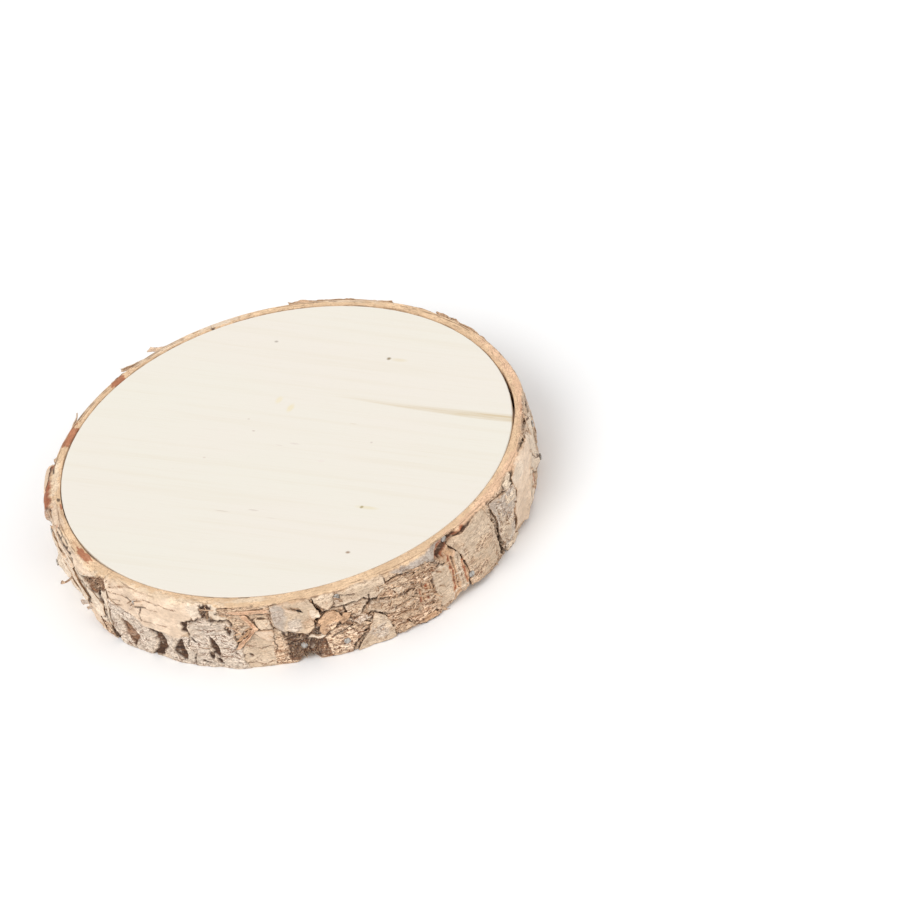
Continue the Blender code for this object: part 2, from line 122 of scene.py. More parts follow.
# Patches of the bark's surface, painted in this order: shade, how far they stand out, how much their edge
# curls, the width of the crack round them, and their outline as angles and depths below the upper face
PATCHES = {
    "bark_front": [
        ("white", 0.4, 0.2, 0.0, [(212, 13), (217, 14), (222, 19), (229, 22), (237, 22), (237, 41),
            (212, 41)]),
        ("peach", 0.5, 0.1, 0.0, [(212, -3), (238, -3), (239, 3), (236.5, 12), (235, 20), (233, 23.5),
            (229, 22.5), (224, 21.5), (220, 17), (216, 13.5), (212, 11)]),
        ("cream", 0.4, 0.1, 0.0, [(236, -3), (246, -3), (246.5, 8.5), (243, 9.5), (238, 10)]),
        ("white", 1.0, 0.4, 0.7, [(236.2, 11.6), (238, 10.8), (240, 9.2), (243, 10), (246.4, 9.4),
            (247.6, 14), (247.4, 20), (248.8, 27), (248.4, 34), (250, 41), (235.8, 41), (236.6, 33),
            (235.4, 26), (236.4, 19)]),
        ("sand", 0.3, 0.2, 0.3, [(244.5, -1), (257, -1), (257, 9), (252, 9), (247, 8), (244.5, 5)]),
        ("beige", 0.5, 0.3, 0.3, [(248.5, 15), (252, 12), (257, 15), (257.2, 24), (256, 30), (257, 41),
            (249.6, 41), (248.6, 33), (249, 26), (247.6, 20)]),
        ("fibre", 0.2, 0.3, 0.3, [(256, 23), (259.5, 20), (260.2, 30), (260, 41), (256, 41)]),
        ("brown", 0.0, 0.3, 0.0, [(266, 14), (268, 4), (270, 3), (271, 9), (268.4, 11), (268, 17),
            (275, 19), (277.5, 27), (275.6, 33), (269.6, 41), (266, 38), (267.6, 26)]),
        ("crust", -0.4, 0.1, 0.0, [(259, 17.5), (262.5, 19.5), (266.5, 17.5), (268, 20), (267.6, 27),
            (266.4, 38), (259.6, 38), (259.2, 28)]),
        ("crust", -0.5, 0.0, 0.0, [(267, 3), (269.4, 2.5), (269.8, 8), (268.4, 12), (267, 17),
            (265.6, 19.6), (266.4, 13)]),
        ("fibre", 0.4, 0.5, 0.5, [(268, 22), (272, 21.5), (276, 24), (278, 27.5), (276.4, 31.5),
            (274.4, 37), (273.6, 41), (269.4, 41), (268.6, 32)]),
        ("beige", 0.6, 0.4, 0.5, [(272.6, 1.5), (278, -0.5), (284.5, 0.3), (285, 7), (282, 11.5), (279, 9),
            (275, 9.6), (272, 8.6)]),
        ("sand", 0.6, 0.6, 0.8, [(274.2, 10.8), (279.4, 10), (279.6, 13), (278, 16.4), (277, 19),
            (275, 18), (274.6, 14)]),
        ("sand", 0.7, 0.5, 0.8, [(280.6, 12), (285, 16.2), (291, 16.8), (291.4, 22), (288, 26.5),
            (284, 24.5), (281, 19.4), (279.4, 16.4)]),
        ("beige", 0.8, 0.6, 0.7, [(280.8, 20.5), (283, 24), (283.8, 30), (284.6, 41), (274.8, 41),
            (276.5, 34.5), (278.6, 29), (279.6, 24.4)]),
        ("fibre", 0.4, 0.5, 0.5, [(284.6, 26), (290, 26.5), (296.4, 27), (297, 33), (296.5, 41),
            (285.4, 41), (284.4, 33)]),
        ("fibre", 0.6, 0.5, 0.5, [(285.5, 7.5), (291, 5.5), (296, 7), (299.5, 10.5), (296.6, 15.5),
            (290, 15.4), (286, 14.8)]),
        ("grey", 0.2, 0.1, 0.2, [(286, 0.2), (294, -0.5), (302, 0.4), (302.4, 6), (301.4, 10.6),
            (299, 8.4), (295.4, 5.6), (289, 4.6)]),
        ("tan", 0.2, 0.0, 0.0, [(291.8, 16), (295.6, 15.4), (296, 26.6), (292.2, 26.8)]),
        ("beige", 0.7, 0.3, 0.3, [(296.4, 13.5), (299, 12.4), (301.4, 14), (301.4, 36), (297, 36.4),
            (296.2, 27)]),
        ("tan", 0.2, 0.2, 0.2, [(301.4, 11.5), (303.4, 9.5), (303.6, 36), (301.2, 36)]),
        ("beige", 0.5, 0.1, 0.2, [(303.4, 12), (305.4, 11), (305, 36), (303.4, 36)]),
        ("tan", 0.3, 0.1, 0.2, [(305.3, 10.5), (307, 10), (306.8, 36), (305, 36)]),
        ("tan", 0.1, 0.0, 0.0, [(298, 7), (300, 3), (303, 1.2), (306, 0.4), (307, 3), (305.4, 8),
            (303, 11), (300.6, 11)]),
        # Painted shadow under the ring's overhanging edge, in the hollow at 299 to 313: red-brown, darker in
        # its upper part
        ("rust", -0.3, 0.0, 0.0, [(298.6, 8), (300.6, 1.8), (304, 0), (307.4, -2), (312.7, -2.2), (309, 0),
            (305.4, 2.6), (303.2, 6), (301.2, 9.4)]),
        ("scar", -1.2, 0.0, 0.0, [(299.4, 7.4), (301.2, 4), (304.2, 0.8), (307.6, -1), (306.4, 1),
            (303.6, 4.4), (302.0, 7.6), (300.2, 9)]),
        ("sand", 1.3, 0.4, 0.4, [(306.6, 5), (309, 1.4), (313, -0.5), (317, -0.8), (317.6, 8), (316.6, 14),
            (317.4, 25), (316, 36.4), (309, 36.8), (306.4, 36.4), (307, 24), (306, 14)]),
        ("fibre", 0.4, 0.3, 0.6, [(319.4, 4), (324, 4), (324.4, 9.4), (323.4, 12.2), (320.4, 12.6)]),
        ("speckled", 0.8, 0.5, 0.8, [(324.6, 4), (325, 1), (329.6, 0.4), (329.2, 8), (330, 15), (329, 25),
            (328, 41), (322, 41), (321, 36), (320.4, 27), (321, 13.5), (324, 12.6)]),
        ("rust", -0.6, 0.1, 0.4, [(337, 15), (341.4, 8), (343.4, 14), (342, 22), (338.6, 24), (335, 34),
            (333, 33)]),
        ("beige", 0.4, 0.3, 0.6, [(328.6, 3), (331, -0.5), (338, -0.8), (343, 2.6), (343.6, 12),
            (338.5, 20), (338, 24), (335.6, 32.5), (333.2, 37.4), (327.5, 35), (328.5, 20), (330.2, 14)]),
        ("cream", 0.2, 0.2, 0.3, [(338.4, 22), (343, 21), (346, 28), (344, 39), (333, 39), (334.6, 34)]),
        ("cream", 0.4, 0.3, 0.6, [(344, 2), (350, 4), (357, 9), (357.5, 18), (355, 32), (349, 35),
            (345, 25)]),
        ("white", 0.3, 0.3, 0.7, [(357, 5.5), (366, 6.5), (367, 16), (364, 19), (358, 18)]),
        ("sand", 0.7, 0.4, 0.7, [(358.5, 20), (366, 20.5), (377, 17), (379, 24), (378, 38), (361, 38)]),
        ("grey", 0.4, 0.3, 0.5, [(367.6, 5), (375, 4), (382, 5), (382, 15), (376, 15.5), (369, 18)]),
        ("dark", -1.8, 0.0, 0.0, [(318.5, 14), (319.3, 20), (319.4, 25), (320.2, 30), (320.8, 37),
            (319.7, 38), (319.2, 31), (318.4, 25)]),
        ("brown", -0.9, 0.0, 0.2, [(214.8, 22.5), (216.4, 23.6), (220, 31), (219.2, 34.6), (217.8, 38.2),
            (216.8, 34), (215.8, 28)]),
        ("dark", -0.8, 0.0, 0.2, [(211.9, 34.4), (212.8, 35.4), (213.8, 39), (213.8, 40.6), (211.9, 39.6)]),
        ("scar", -1.0, 0.0, 0.2, [(224.4, 22.2), (227, 22.4), (228.2, 26), (228.5, 32), (226.8, 38.2),
            (224, 39.6), (225.4, 35.4), (226.2, 29), (226, 25)]),
        ("scar", -0.9, 0.0, 0.2, [(233.5, 24), (234, 36.4), (233, 37.2), (230.9, 33.4), (231.6, 29.4),
            (232.6, 26)]),
        ("scar", -0.7, 0.0, 0.2, [(234.6, 12.6), (236, 12), (236.1, 15.4), (235.6, 19), (234.4, 18)]),
        ("scar", -0.4, 0.0, 0.1, [(239.7, 3), (240.7, 2), (241.6, 0.2), (242.4, 2), (242.3, 4.6),
            (241.5, 8.2), (240.5, 8.8), (239.7, 6)]),
        ("scar", -0.5, 0.0, 0.2, [(241.7, 20), (242.4, 22), (242.9, 27), (242.8, 31.2), (241.9, 30.4),
            (241.3, 27)]),
        ("scar", -0.4, 0.0, 0.2, [(240.4, 30), (241.5, 29.4), (241.6, 32), (240.8, 34.2), (240.2, 33)]),
        ("scar", -0.4, 0.0, 0.2, [(242.1, 33), (242.9, 34), (243.2, 37.4), (242.3, 36.6)]),
        ("scar", -0.4, 0.0, 0.2, [(245.3, 14), (246, 12.8), (246.6, 15.6), (246.4, 18), (245.7, 16.6)]),
    ],
    "bark_left": [
        ("cream", 0.8, 0.2, 0.0, [(176, -3), (212, -3), (212, 41), (176, 41)]),
        ("peach", 0.9, 0.1, 0.2, [(176, -3), (212, -3), (211, 1), (207, 5), (202, 5.6), (198, 4), (190, 1),
            (176, 1)]),
        ("fibre", 0.4, 0.2, 0.3, [(198, 29), (206, 27), (212, 30), (212, 41), (200, 41)]),
        ("cream", 0.7, 0.3, 0.3, [(203, 14), (209, 14), (212, 20), (212, 31), (206, 31), (204, 20)]),
        ("brown", -0.3, 0.1, 0.0, [(203.3, 8.3), (207.4, 5.2), (210, 1.4), (212, -2), (212, 8),
            (211.3, 8.8), (207.3, 14.4), (204.6, 13.6)]),
        ("dark", -0.8, 0.0, 0.1, [(209.8, 28.6), (210.6, 28.4), (212, 35), (212, 38.6), (210.8, 36)]),
        ("rust", 3.4, 0.0, 0.0, [(175, -0.4), (177.4, -0.2), (179.2, 1.6), (178.6, 9), (175, 12)]),
        ("scar", -0.9, 0.0, 0.1, [(206.8, 7), (208.4, 7), (208.8, 10), (207.6, 11.4)]),
        ("scar", -0.7, 0.0, 0.1, [(197.6, 2.4), (199.4, 2), (200.2, 4.6), (198.8, 5.4)]),
        ("dark", -0.8, 0.0, 0.1, [(208.2, 12.6), (209.4, 12.4), (210.4, 17), (210, 20), (209, 17)]),
        ("scar", -0.5, 0.0, 0.1, [(202.6, 31), (204, 30.6), (205.6, 33), (204.6, 34), (203, 33.2)]),
    ],
    "bark_back_left": [
        ("rust", 3.6, 0.0, 0.0, [(162.4, 0.2), (168, 0.6), (170.4, -0.4), (173.4, 0.2), (176, -0.4),
            (176, 13), (164, 14)]),
    ],
}

# Lines and splits: shade, width, depth, and their course as angles and depths below the upper face
LINES = {
    "bark_front": [
        ("brown", 0.35, 0.15, [(224.5, 3), (228, 3.6), (233, 5)]),
        ("brown", 0.35, 0.1, [(225, 8.3), (228.5, 8.7)]),
        ("brown", 0.35, 0.1, [(222, 17.3), (226, 17.8), (230, 17.2)]),
        ("brown", 0.4, 0.15, [(214, 3.4), (218, 0.8), (222, -2.6)]),
        ("brown", 0.35, 0.15, [(213.5, 7), (218, 5.4), (221, 6.6)]),
        ("brown", 0.4, 0.2, [(212.4, 12), (217, 9.6)]), ("brown", 0.4, 0.2, [(212.4, 15.6), (217.6, 12.2)]),
        ("dark", 0.8, 0.7, [(221.4, 10.2), (223, 9.2), (225, 8)]),
        ("scar", 0.7, 0.5, [(219.4, 5.6), (221.6, 7.6), (222.6, 8)]),
        ("scar", 0.6, 0.5, [(223.3, 10), (222.9, 13), (222.2, 15), (222.6, 18)]),
        ("dark", 0.55, 0.6, [(236, 11.6), (238, 10.8), (239.6, 9.6), (240.4, 9)]),
        ("dark", 0.5, 0.5, [(242.3, 9), (244, 9.5), (246.2, 9.3)]),
        ("dark", 0.5, 0.5, [(242, 8), (242.3, 11)]), ("dark", 0.7, 0.4, [(239.9, 6.4), (240.3, 1)]),
        ("dark", 0.7, 0.4, [(240.9, 8), (241.1, -0.4)]), ("dark", 0.7, 0.4, [(241.6, 8.6), (241.9, -1)]),
        ("dark", 0.6, 0.3, [(242.2, 5), (242.9, 0.6)]), ("brown", 0.4, 0.2, [(239, 15.9), (244.6, 14.8)]),
        ("brown", 0.35, 0.2, [(238, 27.4), (243, 26.6), (247.6, 27.6)]),
        ("brown", 0.35, 0.2, [(243, 31.4), (248, 32.6)]),
        ("scar", 0.6, 0.4, [(235.4, 19.6), (236.4, 22), (237.4, 24.2)]),
        ("scar", 0.8, 0.4, [(238.4, 36.3), (240, 36.4)]), ("scar", 0.6, 0.3, [(247, 27), (247.2, 29.6)]),
        ("scar", 0.5, 0.5, [(244, 4.2), (246, 1.4), (250, 0), (254, 0.2), (257, 0.6)]),
        ("brown", 0.4, 0.4, [(245, 5), (250, 3.6), (257, 4.4)]),
        ("brown", 0.4, 0.4, [(246, 6.4), (252, 5.2), (257, 6.6)]),
        ("scar", 0.5, 0.5, [(256.7, 21), (256.4, 24), (257, 27), (256.4, 30.5)]),
        ("scar", 0.9, 0.5, [(250.2, 31), (250.6, 32)]),
        ("brown", 0.4, 0.3, [(250, 25), (253, 27.4), (256, 26)]),
        ("brown", 0.4, 0.3, [(249.4, 36), (253, 37.8), (256, 36)]),
        # Painted shadow under the lifted edge of the beige sheet at 257 to 268, over a groove
        ("dark", 1.4, 1.3, [(268, 3), (267.2, 7.8), (268.3, 11), (267.2, 15), (266, 18.6), (264, 20.6),
            (261.6, 19.8), (259.4, 18), (257.3, 15.8)]),
        ("dark", 0.7, 0.8, [(270.2, 9.8), (270.9, 7.4), (271.5, 4.4)]),
        ("dark", 0.7, 0.9, [(269.5, 9.6), (272, 9.2), (275, 10), (279, 9.6), (282, 12.6), (285, 15.6),
            (290, 16), (296, 16)]),
        ("scar", 0.5, 0.6, [(273, 2.2), (275, 3.4), (277.4, 4.6)]),
        ("dark", 0.9, 1.1, [(280.3, 8), (279.8, 13), (278.4, 16), (277.6, 19.5), (276.2, 19.8),
            (274.8, 18.4)]),
        ("scar", 0.8, 0.8, [(268, 26.5), (270, 23), (272, 21.4), (273.6, 17.8), (276, 17)]),
        ("scar", 0.7, 0.8, [(270.5, 27), (274, 24), (278, 22.6), (280.6, 19.4)]),
        ("dark", 0.9, 1.1, [(278.2, 28), (276.8, 31.5), (275.4, 35), (274.2, 37.6)]),
        ("scar", 0.45, 0.5, [(283, 28), (283.4, 34), (284.3, 38)]),
        ("scar", 0.5, 0.6, [(285, 5.6), (288, 4.4), (295, 5.4), (299.6, 7.4)]),
        ("scar", 0.6, 0.8, [(294, 9), (297, 10.6), (300.6, 13)]),
        ("rust", 0.7, 0.2, [(292.5, 16), (292.3, 27)]), ("brown", 0.5, 0.3, [(293.4, 16), (293.1, 26.6)]),
        ("rust", 0.7, 0.2, [(294.4, 16), (294.2, 27)]), ("brown", 0.5, 0.3, [(295.3, 16), (295.2, 24)]),
        ("rust", 0.9, 0.3, [(302, 11), (301.8, 33)]), ("brown", 0.5, 0.3, [(302.9, 12), (302.6, 33)]),
        ("rust", 0.7, 0.3, [(305.7, 12), (305.5, 33)]), ("brown", 0.5, 0.3, [(306.4, 12), (306.2, 28)]),
        ("brown", 0.3, 0.1, [(304.3, 12), (304.2, 32)]),
        # A raised rim on the big plate's left edge, partly its own orange colour and partly painted highlight
        ("orange", 1.2, -0.4, [(303.4, 12), (305.4, 8), (307, 4), (309.6, 1)]),
        ("cream", 0.6, 0.0, [(302, 23.4), (305.2, 23.8)]),
        ("cream", 0.6, 0.0, [(304.2, 11.8), (307.4, 11.4)]),
        ("cream", 0.6, 0.0, [(301, 33.4), (305.6, 33.2)]),
        ("dark", 0.9, 1.4, [(317, 3.6), (317.3, 6), (318.2, 12.8), (319.1, 21.5), (318.9, 27.1),
            (320.6, 36), (321, 39.4)]),
        ("dark", 1.0, 1.2, [(317, 11), (317.4, 16), (316.9, 19)]),
        ("dark", 1.2, 1.0, [(316.9, 4.6), (319.6, 3.6)]), ("dark", 1.4, 1.2, [(319.4, 29), (320.2, 34.4)]),
        ("dark", 1.0, 1.0, [(317.4, 9), (319.4, 8.2)]), ("scar", 0.8, 0.9, [(318.4, 20), (317.5, 25)]),
        ("dark", 0.7, 0.6, [(317.4, 0.9), (319, -0.3), (323, -0.8)]),
        ("scar", 0.6, 0.7, [(320.4, 12.5), (323.5, 12), (324.4, 9.4)]),
        ("dark", 1.0, 0.9, [(328.6, 4.4), (328.9, 8)]),
        ("dark", 1.0, 0.9, [(329.3, 10), (330.2, 13), (331.4, 17)]),
        ("scar", 0.4, 0.4, [(321, 31.4), (326, 32)]),
        ("scar", 0.4, 0.3, [(320.4, 15.6), (326, 15.2), (329, 16.4)]),
        ("scar", 1.0, 0.4, [(326, 28), (326.4, 29.4)]), ("scar", 0.7, 0.4, [(329.2, 20), (329.8, 22)]),
        ("dark", 0.8, 0.8, [(341.6, 1.6), (343, 4), (344.4, 9)]),
        # Painted shadow of the peach flap's right edge, over a groove
        ("dark", 1.6, 1.2, [(339.9, 19), (339.5, 24), (337.2, 32.4), (335, 37.4)]),
        ("scar", 0.7, 0.8, [(344.2, 3), (344.8, 10), (344.2, 18), (342.6, 24)]),
    ],
    "bark_left": [
        ("dark", 1.2, 1.2, [(178, 9), (186, 9), (193, 8), (196.9, 8.1), (198.9, 11.4), (201, 12),
            (203.6, 13.6)]),
        ("dark", 1.3, 1.0, [(184, 2), (191.8, 1.2), (197.5, 1.6), (201.3, 6.9), (204, 8.6)]),
        ("dark", 1.3, 0.8, [(198.5, 17.6), (200.2, 22.1), (201.3, 26.7)]),
        ("dark", 1.1, 1.2, [(184, 14.6), (192, 15), (194.4, 20), (196.4, 27), (198, 31)]),
        ("dark", 1.3, 1.3, [(202.4, 10.4), (202.9, 16.6), (204.4, 21), (205, 27), (207.6, 32)]),
        ("dark", 1.0, 1.0, [(203.4, 8.8), (207, 9.4), (208.6, 11)]),
        ("scar", 0.6, 0.6, [(210.4, 14), (211, 20), (210.6, 26)]),
        ("brown", 0.4, 0.3, [(205, 16), (211, 17.4)]), ("brown", 0.4, 0.3, [(207, 26), (211.6, 27)]),
        ("brown", 0.4, 0.2, [(205, 22), (211, 22)]),
        ("dark", 0.7, 0.6, [(209, 24), (211, 30), (211.6, 35)]),
        ("scar", 0.6, 0.6, [(196, 30), (202, 33), (206, 38)]),
    ],
}

# Sheets of bark that come away from what is under them: shade, how far they stand out, and their outline as
# angle, depth below the upper face and how far that corner lifts
SHEETS = {
    "bark_front": [
        ("beige", 1.3, [(257.4, 1, 0.2), (260.8, 0.4, 0), (266.6, 0.8, 0.1), (267.4, 3.5, 0.6),
            (268, 9, 1.2), (266.6, 13, 1.0), (266.4, 17.4, 1.3), (264.8, 20.4, 1.5), (262.8, 19, 1.4),
            (261.2, 17.8, 1.0), (259.6, 16.8, 1.4), (257.7, 13.6, 1.2), (257.2, 7, 0.5)]),
        # A dark sheet standing in for the shade inside a slit in the beige sheet
        ("dark", 1.7, [(261.8, 2.2, 0.1), (263.8, 4.4, 0.1), (264.6, 7.2, 0.1), (262.6, 4.8, 0.1)]),
        ("peach", 1.6, [(260.4, 1.2, 0.2), (262.2, 3.8, 0.5), (263.9, 7.2, 0.6), (262.2, 6.6, 0.4),
            (260.8, 3.8, 0.2)]),
        ("cream", 1.9, [(266.2, 6.4, 0.2), (268.2, 7.4, 0.7), (268.3, 11, 1.1), (266.4, 12, 0.8),
            (265.8, 9, 0.1)]),
        ("cream", 1.3, [(265.0, 23.6, 0.3), (266.4, 24.8, 0.5), (268.0, 24.2, 0.3), (268.4, 25.2, 0.9),
            (266.5, 26.3, 1.1), (264.8, 24.8, 0.9)]),
        ("beige", 0.9, [(267.5, 0.4, 0.2), (270.5, 0.3, 0), (272.6, 0.6, 0), (272.4, 3.5, 0.4),
            (271.4, 7.4, 0.8), (270.4, 9, 0.9), (268.8, 6.4, 0.8), (267.5, 2.6, 0.5)]),
        ("tan", 1.0, [(268.4, 13.4, 0.8), (269.4, 11.4, 0.5), (270.6, 10.4, 0.2), (272.6, 12.6, 0.5),
            (273.4, 16.6, 1.0), (271.8, 19, 0.8), (271.2, 21.2, 1.1), (269.4, 22.4, 1.0),
            (268.3, 24.8, 1.2), (267.4, 21, 0.9), (268, 17.6, 0.3), (267.3, 15.6, 0.9)]),
        ("tan", 0.6, [(273.6, 14.4, 0.3), (275.4, 15.6, 0.6), (274.6, 18.6, 0.9), (272.6, 20.6, 0.9),
            (272.4, 18.6, 0.3)]),
        ("peach", 0.9, [(252, 16, 0.4), (256.6, 15.8, 0.2), (256.8, 22.4, 0.5), (255.4, 23.4, 0.9),
            (253, 18.6, 0.6)]),
        ("beige", 0.8, [(253.2, 8.4, 0.5), (256.6, 9.2, 0.2), (256.7, 15.2, 0.3), (253.7, 14.8, 0.4)]),
        ("orange", 0.7, [(245, 3.7, 0.3), (250, 2.5, 0.2), (257, 3.2, 0.1), (257, 5, 0.3),
            (250, 4.9, 0.5)]),
        ("orange", 1.3, [(249.9, 5.2, 0.6), (251.2, 5, 0.4), (253.7, 13.4, 1.4), (252.8, 14.2, 1.6)]),
        ("orange", 1.4, [(252.2, 14.2, 1.2), (253.3, 14.4, 1.0), (248.4, 26.4, 1.4), (247.2, 26.2, 1.8)]),
        ("tan", 1.1, [(251.2, 15, 0.5), (252.1, 15, 0.5), (248.8, 21.6, 0.7), (247.8, 21.4, 0.9)]),
        ("sand", 0.7, [(244.6, 1.6, 0.3), (249, 0.6, 0.1), (255, 0.8, 0.2), (250, 2.2, 0.5),
            (246, 3, 0.6)]),
        ("beige", 0.9, [(280.8, 20.8, 0.4), (283, 24.4, 0.4), (283.7, 30, 0.3), (284.4, 39.6, 0.2),
            (275, 39.7, 0.4), (276.6, 34.5, 0.8), (278.7, 29, 0.9), (279.7, 24.6, 0.8)]),
        ("sand", 0.8, [(283.4, 6, 0.3), (288, 5.2, 0.2), (292, 7, 0.5), (290, 9.6, 0.9), (285, 9.4, 0.7)]),
        ("fibre", 0.8, [(289.6, 8.4, 0.3), (294, 7.6, 0.3), (298.6, 10.4, 0.6), (297, 12.8, 1.0),
            (292, 11.6, 0.9)]),
        ("beige", 0.7, [(286, 10.4, 0.3), (291, 11.8, 0.4), (291.4, 14.4, 0.8), (287, 14.4, 0.8)]),
        ("sand", 0.8, [(285.4, 17, 0.3), (290.4, 16.8, 0.3), (291.6, 19, 0.6), (288, 21, 1.0),
            (284.6, 20, 0.8)]),
        ("fibre", 0.8, [(286.2, 22.4, 0.3), (291.4, 21.6, 0.3), (292, 24, 0.6), (288.4, 26.4, 1.1),
            (285.6, 25.2, 0.9)]),
        ("sand", 0.8, [(285, 28, 0.3), (290, 27.4, 0.3), (295.6, 28.6, 0.5), (293, 31, 1.2),
            (287, 31.4, 1.2)]),
        ("fibre", 0.9, [(288, 32.6, 0.3), (294, 31.4, 0.3), (297, 33, 0.6), (294, 36, 1.3),
            (289, 35.6, 1.1)]),
        ("sand", 0.8, [(284.8, 34.6, 0.4), (288, 34, 0.4), (289.6, 37, 1.0), (286, 38.6, 1.2)]),
        ("tan", 0.9, [(290, 36.6, 0.4), (295, 35.6, 0.4), (296, 38.4, 1.2), (291.6, 39.4, 1.2)]),
        ("white", 0.7, [(275, 21, 0.3), (278.6, 19.8, 0.4), (280, 21.6, 1.2), (277, 23.6, 1.4)]),
        ("sand", 0.7, [(274.6, 24, 0.3), (278, 23, 0.4), (279.4, 25, 1.3), (276, 27, 1.2)]),
        ("beige", 1.4, [(303.6, 6.4, 0.9), (305.9, 3.4, 0.9), (308.4, 1.4, 0.7), (311.7, 0.5, 0.3),
            (315, 0.4, 0.2), (316.6, 8, 0.4), (317.4, 15, 0.6), (318.2, 24, 0.5), (318.6, 33.6, 0.4),
            (315.6, 35.6, 0.4), (309, 36.6, 0.4), (306.2, 36.2, 0.5), (306.8, 24, 0.2), (305.4, 14, 0.4)]),
        ("white", 0.9, [(318.2, 2.4, 0.3), (322.8, 3.8, 0.4), (327, 6.6, 0.3), (329.4, 8.3, 0.4),
            (330.2, 14.7, 0.5), (328.6, 20.3, 0.3), (328.2, 28, 0.3), (326.8, 34.3, 0.5), (321.2, 37, 0.6),
            (320.0, 28, 0.8), (319.9, 21, 0.8), (319.2, 12, 0.6)]),
        ("peach", 1.5, [(328.6, 3, 0.5), (331.4, 0.5, 0.1), (337.9, 0.4, 0.1), (343, 2.6, 0.5),
            (343.8, 10, 0.8), (342.6, 16, 0.9), (338.5, 19.6, 1.0), (338.1, 24, 1.3), (335.6, 32.5, 1.4),
            (333.2, 37.4, 1.2), (327.5, 35, 0.9), (327.8, 29.7, 0.8), (328.5, 20.3, 0.4),
            (330.2, 14.7, 0.5), (328.7, 7, 0.5)]),
        ("cream", 0.3, [(338.8, 21, 0.3), (343, 26, 0.4), (342.6, 31, 0.5), (340.2, 37.6, 0.6),
            (335.4, 38, 0.6), (337.4, 31, 0.3)]),
        ("cream", 0.5, [(344.6, 4, 0.5), (346.6, 3, 0.4), (349, 9, 0.5), (349.6, 17, 0.5),
            (347.6, 24, 0.6), (345, 20, 0.5)]),
        ("cream", 0.2, [(351, 14, 0.3), (358, 12, 0.2), (359, 26, 0.4), (354.6, 33, 0.5),
            (350.4, 28, 0.3)]),
        ("white", 0.4, [(360, 8, 0.4), (367, 8.6, 0.3), (368, 16, 0.5), (364, 19.4, 0.6),
            (360.6, 17, 0.5)]),
        ("sand", 0.8, [(361, 21.6, 0.4), (368, 21.6, 0.3), (377, 19, 0.4), (378, 30, 0.6), (375, 37, 0.6),
            (363, 36.8, 0.6)]),
    ],
    "bark_back_left": [
        ("sand", 0.5, [(125.4, 0.8, 0.3), (128, 0.6, 0.8), (130, 0.8, 0.2), (130, 7, 0.3),
            (125.6, 7, 0.3)]),
        ("peach", 3.9, [(161, 2.2, -2.6), (163, 1.6, -0.8), (165.6, 1.5, 0.2), (168.6, 2, 0.3),
            (171, 3.4, 0.1), (170.6, 13, 0.1), (162, 12, -2)]),
    ],
    "bark_back_right": [
        ("peach", 0.9, [(55.4, 1.2, 2.6), (57.4, 0.6, 1.9), (61, 0.5, 0.9), (68, 0.4, 0.6), (75, 0.5, 0.9),
            (79.4, 0.6, 2.4), (81.4, 1.4, 3.4), (81, 9, 2.0), (79, 18, 0.8), (57, 18, 0.6),
            (55.4, 8, 1.6)]),
        ("sand", 0.5, [(27.6, 0.9, 0.6), (31, 0.5, 1.2), (34, 0.6, 0.5), (37.6, 0.7, 0.7), (41, 0.6, 2.5),
            (43, 1.8, 1.8), (42, 9, 0.5), (28, 9, 0.4)]),
        ("beige", 0.8, [(33, 1.4, 0.3), (36.4, 1.2, 1.0), (40, 1.8, 1.4), (38, 10, 0.4), (33, 9, 0.3)]),
        ("tan", 0.3, [(44, 0.8, 0.4), (47, 0.6, 0.8), (49, 1, 0.3), (49, 8, 0.3), (44, 8, 0.3)]),
        ("grey", 0.4, [(24.4, 1.6, 0.5), (26.4, 1, 1.2), (28, 2, 0.8), (27, 9, 0.4), (24.4, 9, 0.3)]),
    ],
    "bark_left": [
        ("peach", 0.7, [(176.6, 1.8, 0.8), (182, 1.4, 0.6), (188, 2, 0.6), (196, 3.4, 0.4),
            (200, 5.6, 0.8), (199, 8, 1.0), (192, 7, 0.8), (184, 7, 0.8), (177, 8, 0.6)]),
        ("cream", 1.6, [(180, 9, 0.4), (190, 8.6, 0.5), (198.6, 8.4, 0.5), (201.6, 10.6, 0.5),
            (202.2, 16, 0.9), (203.6, 22, 1.1), (201, 30, 1.2), (197, 26.6, 1.0), (194.6, 20, 0.6),
            (192.4, 14.6, 0.4), (184, 14, 0.5)]),
        ("cream", 2.0, [(178, 15.6, 0.4), (188, 14.6, 0.4), (192.6, 16.4, 0.5), (194, 22.6, 1.0),
            (196.6, 28, 1.3), (193, 32, 1.4), (184, 34, 1.0), (178, 30, 0.8)]),
        ("cream", 0.8, [(203.6, 14.6, 0.4), (206.8, 15, 0.4), (208.6, 17, 0.6), (209.6, 20, 0.6),
            (210, 27, 0.9), (206.6, 30, 1.2), (204.8, 22.4, 0.8), (203.2, 17, 0.5)]),
        ("peach", 0.9, [(199, 31, 0.4), (204, 27, 0.4), (207, 31.6, 0.5), (209, 36.6, 0.8),
            (204, 36.6, 1.0)]),
    ],
}

# Washes of colour on those sheets: shade, angle, depth, half angle and half depth
WASHES = [
    ("grey", 259.0, 8, 2.4, 12), ("white", 262, 14, 2.0, 5), ("sand", 265.6, 16, 1.8, 5),
    ("fibre", 270.6, 21, 2.4, 3.4), ("sand", 310, 30, 4, 8), ("grey", 325, 12, 2, 5),
    ("beige", 323, 26, 3, 8), ("peach", 333, 22, 3.4, 12), ("cream", 332, 6, 4, 5),
    ("fibre", 307, 34, 2.4, 5), ("white", 281, 33, 2.4, 5), ("peach", 196, 14, 4, 4),
]

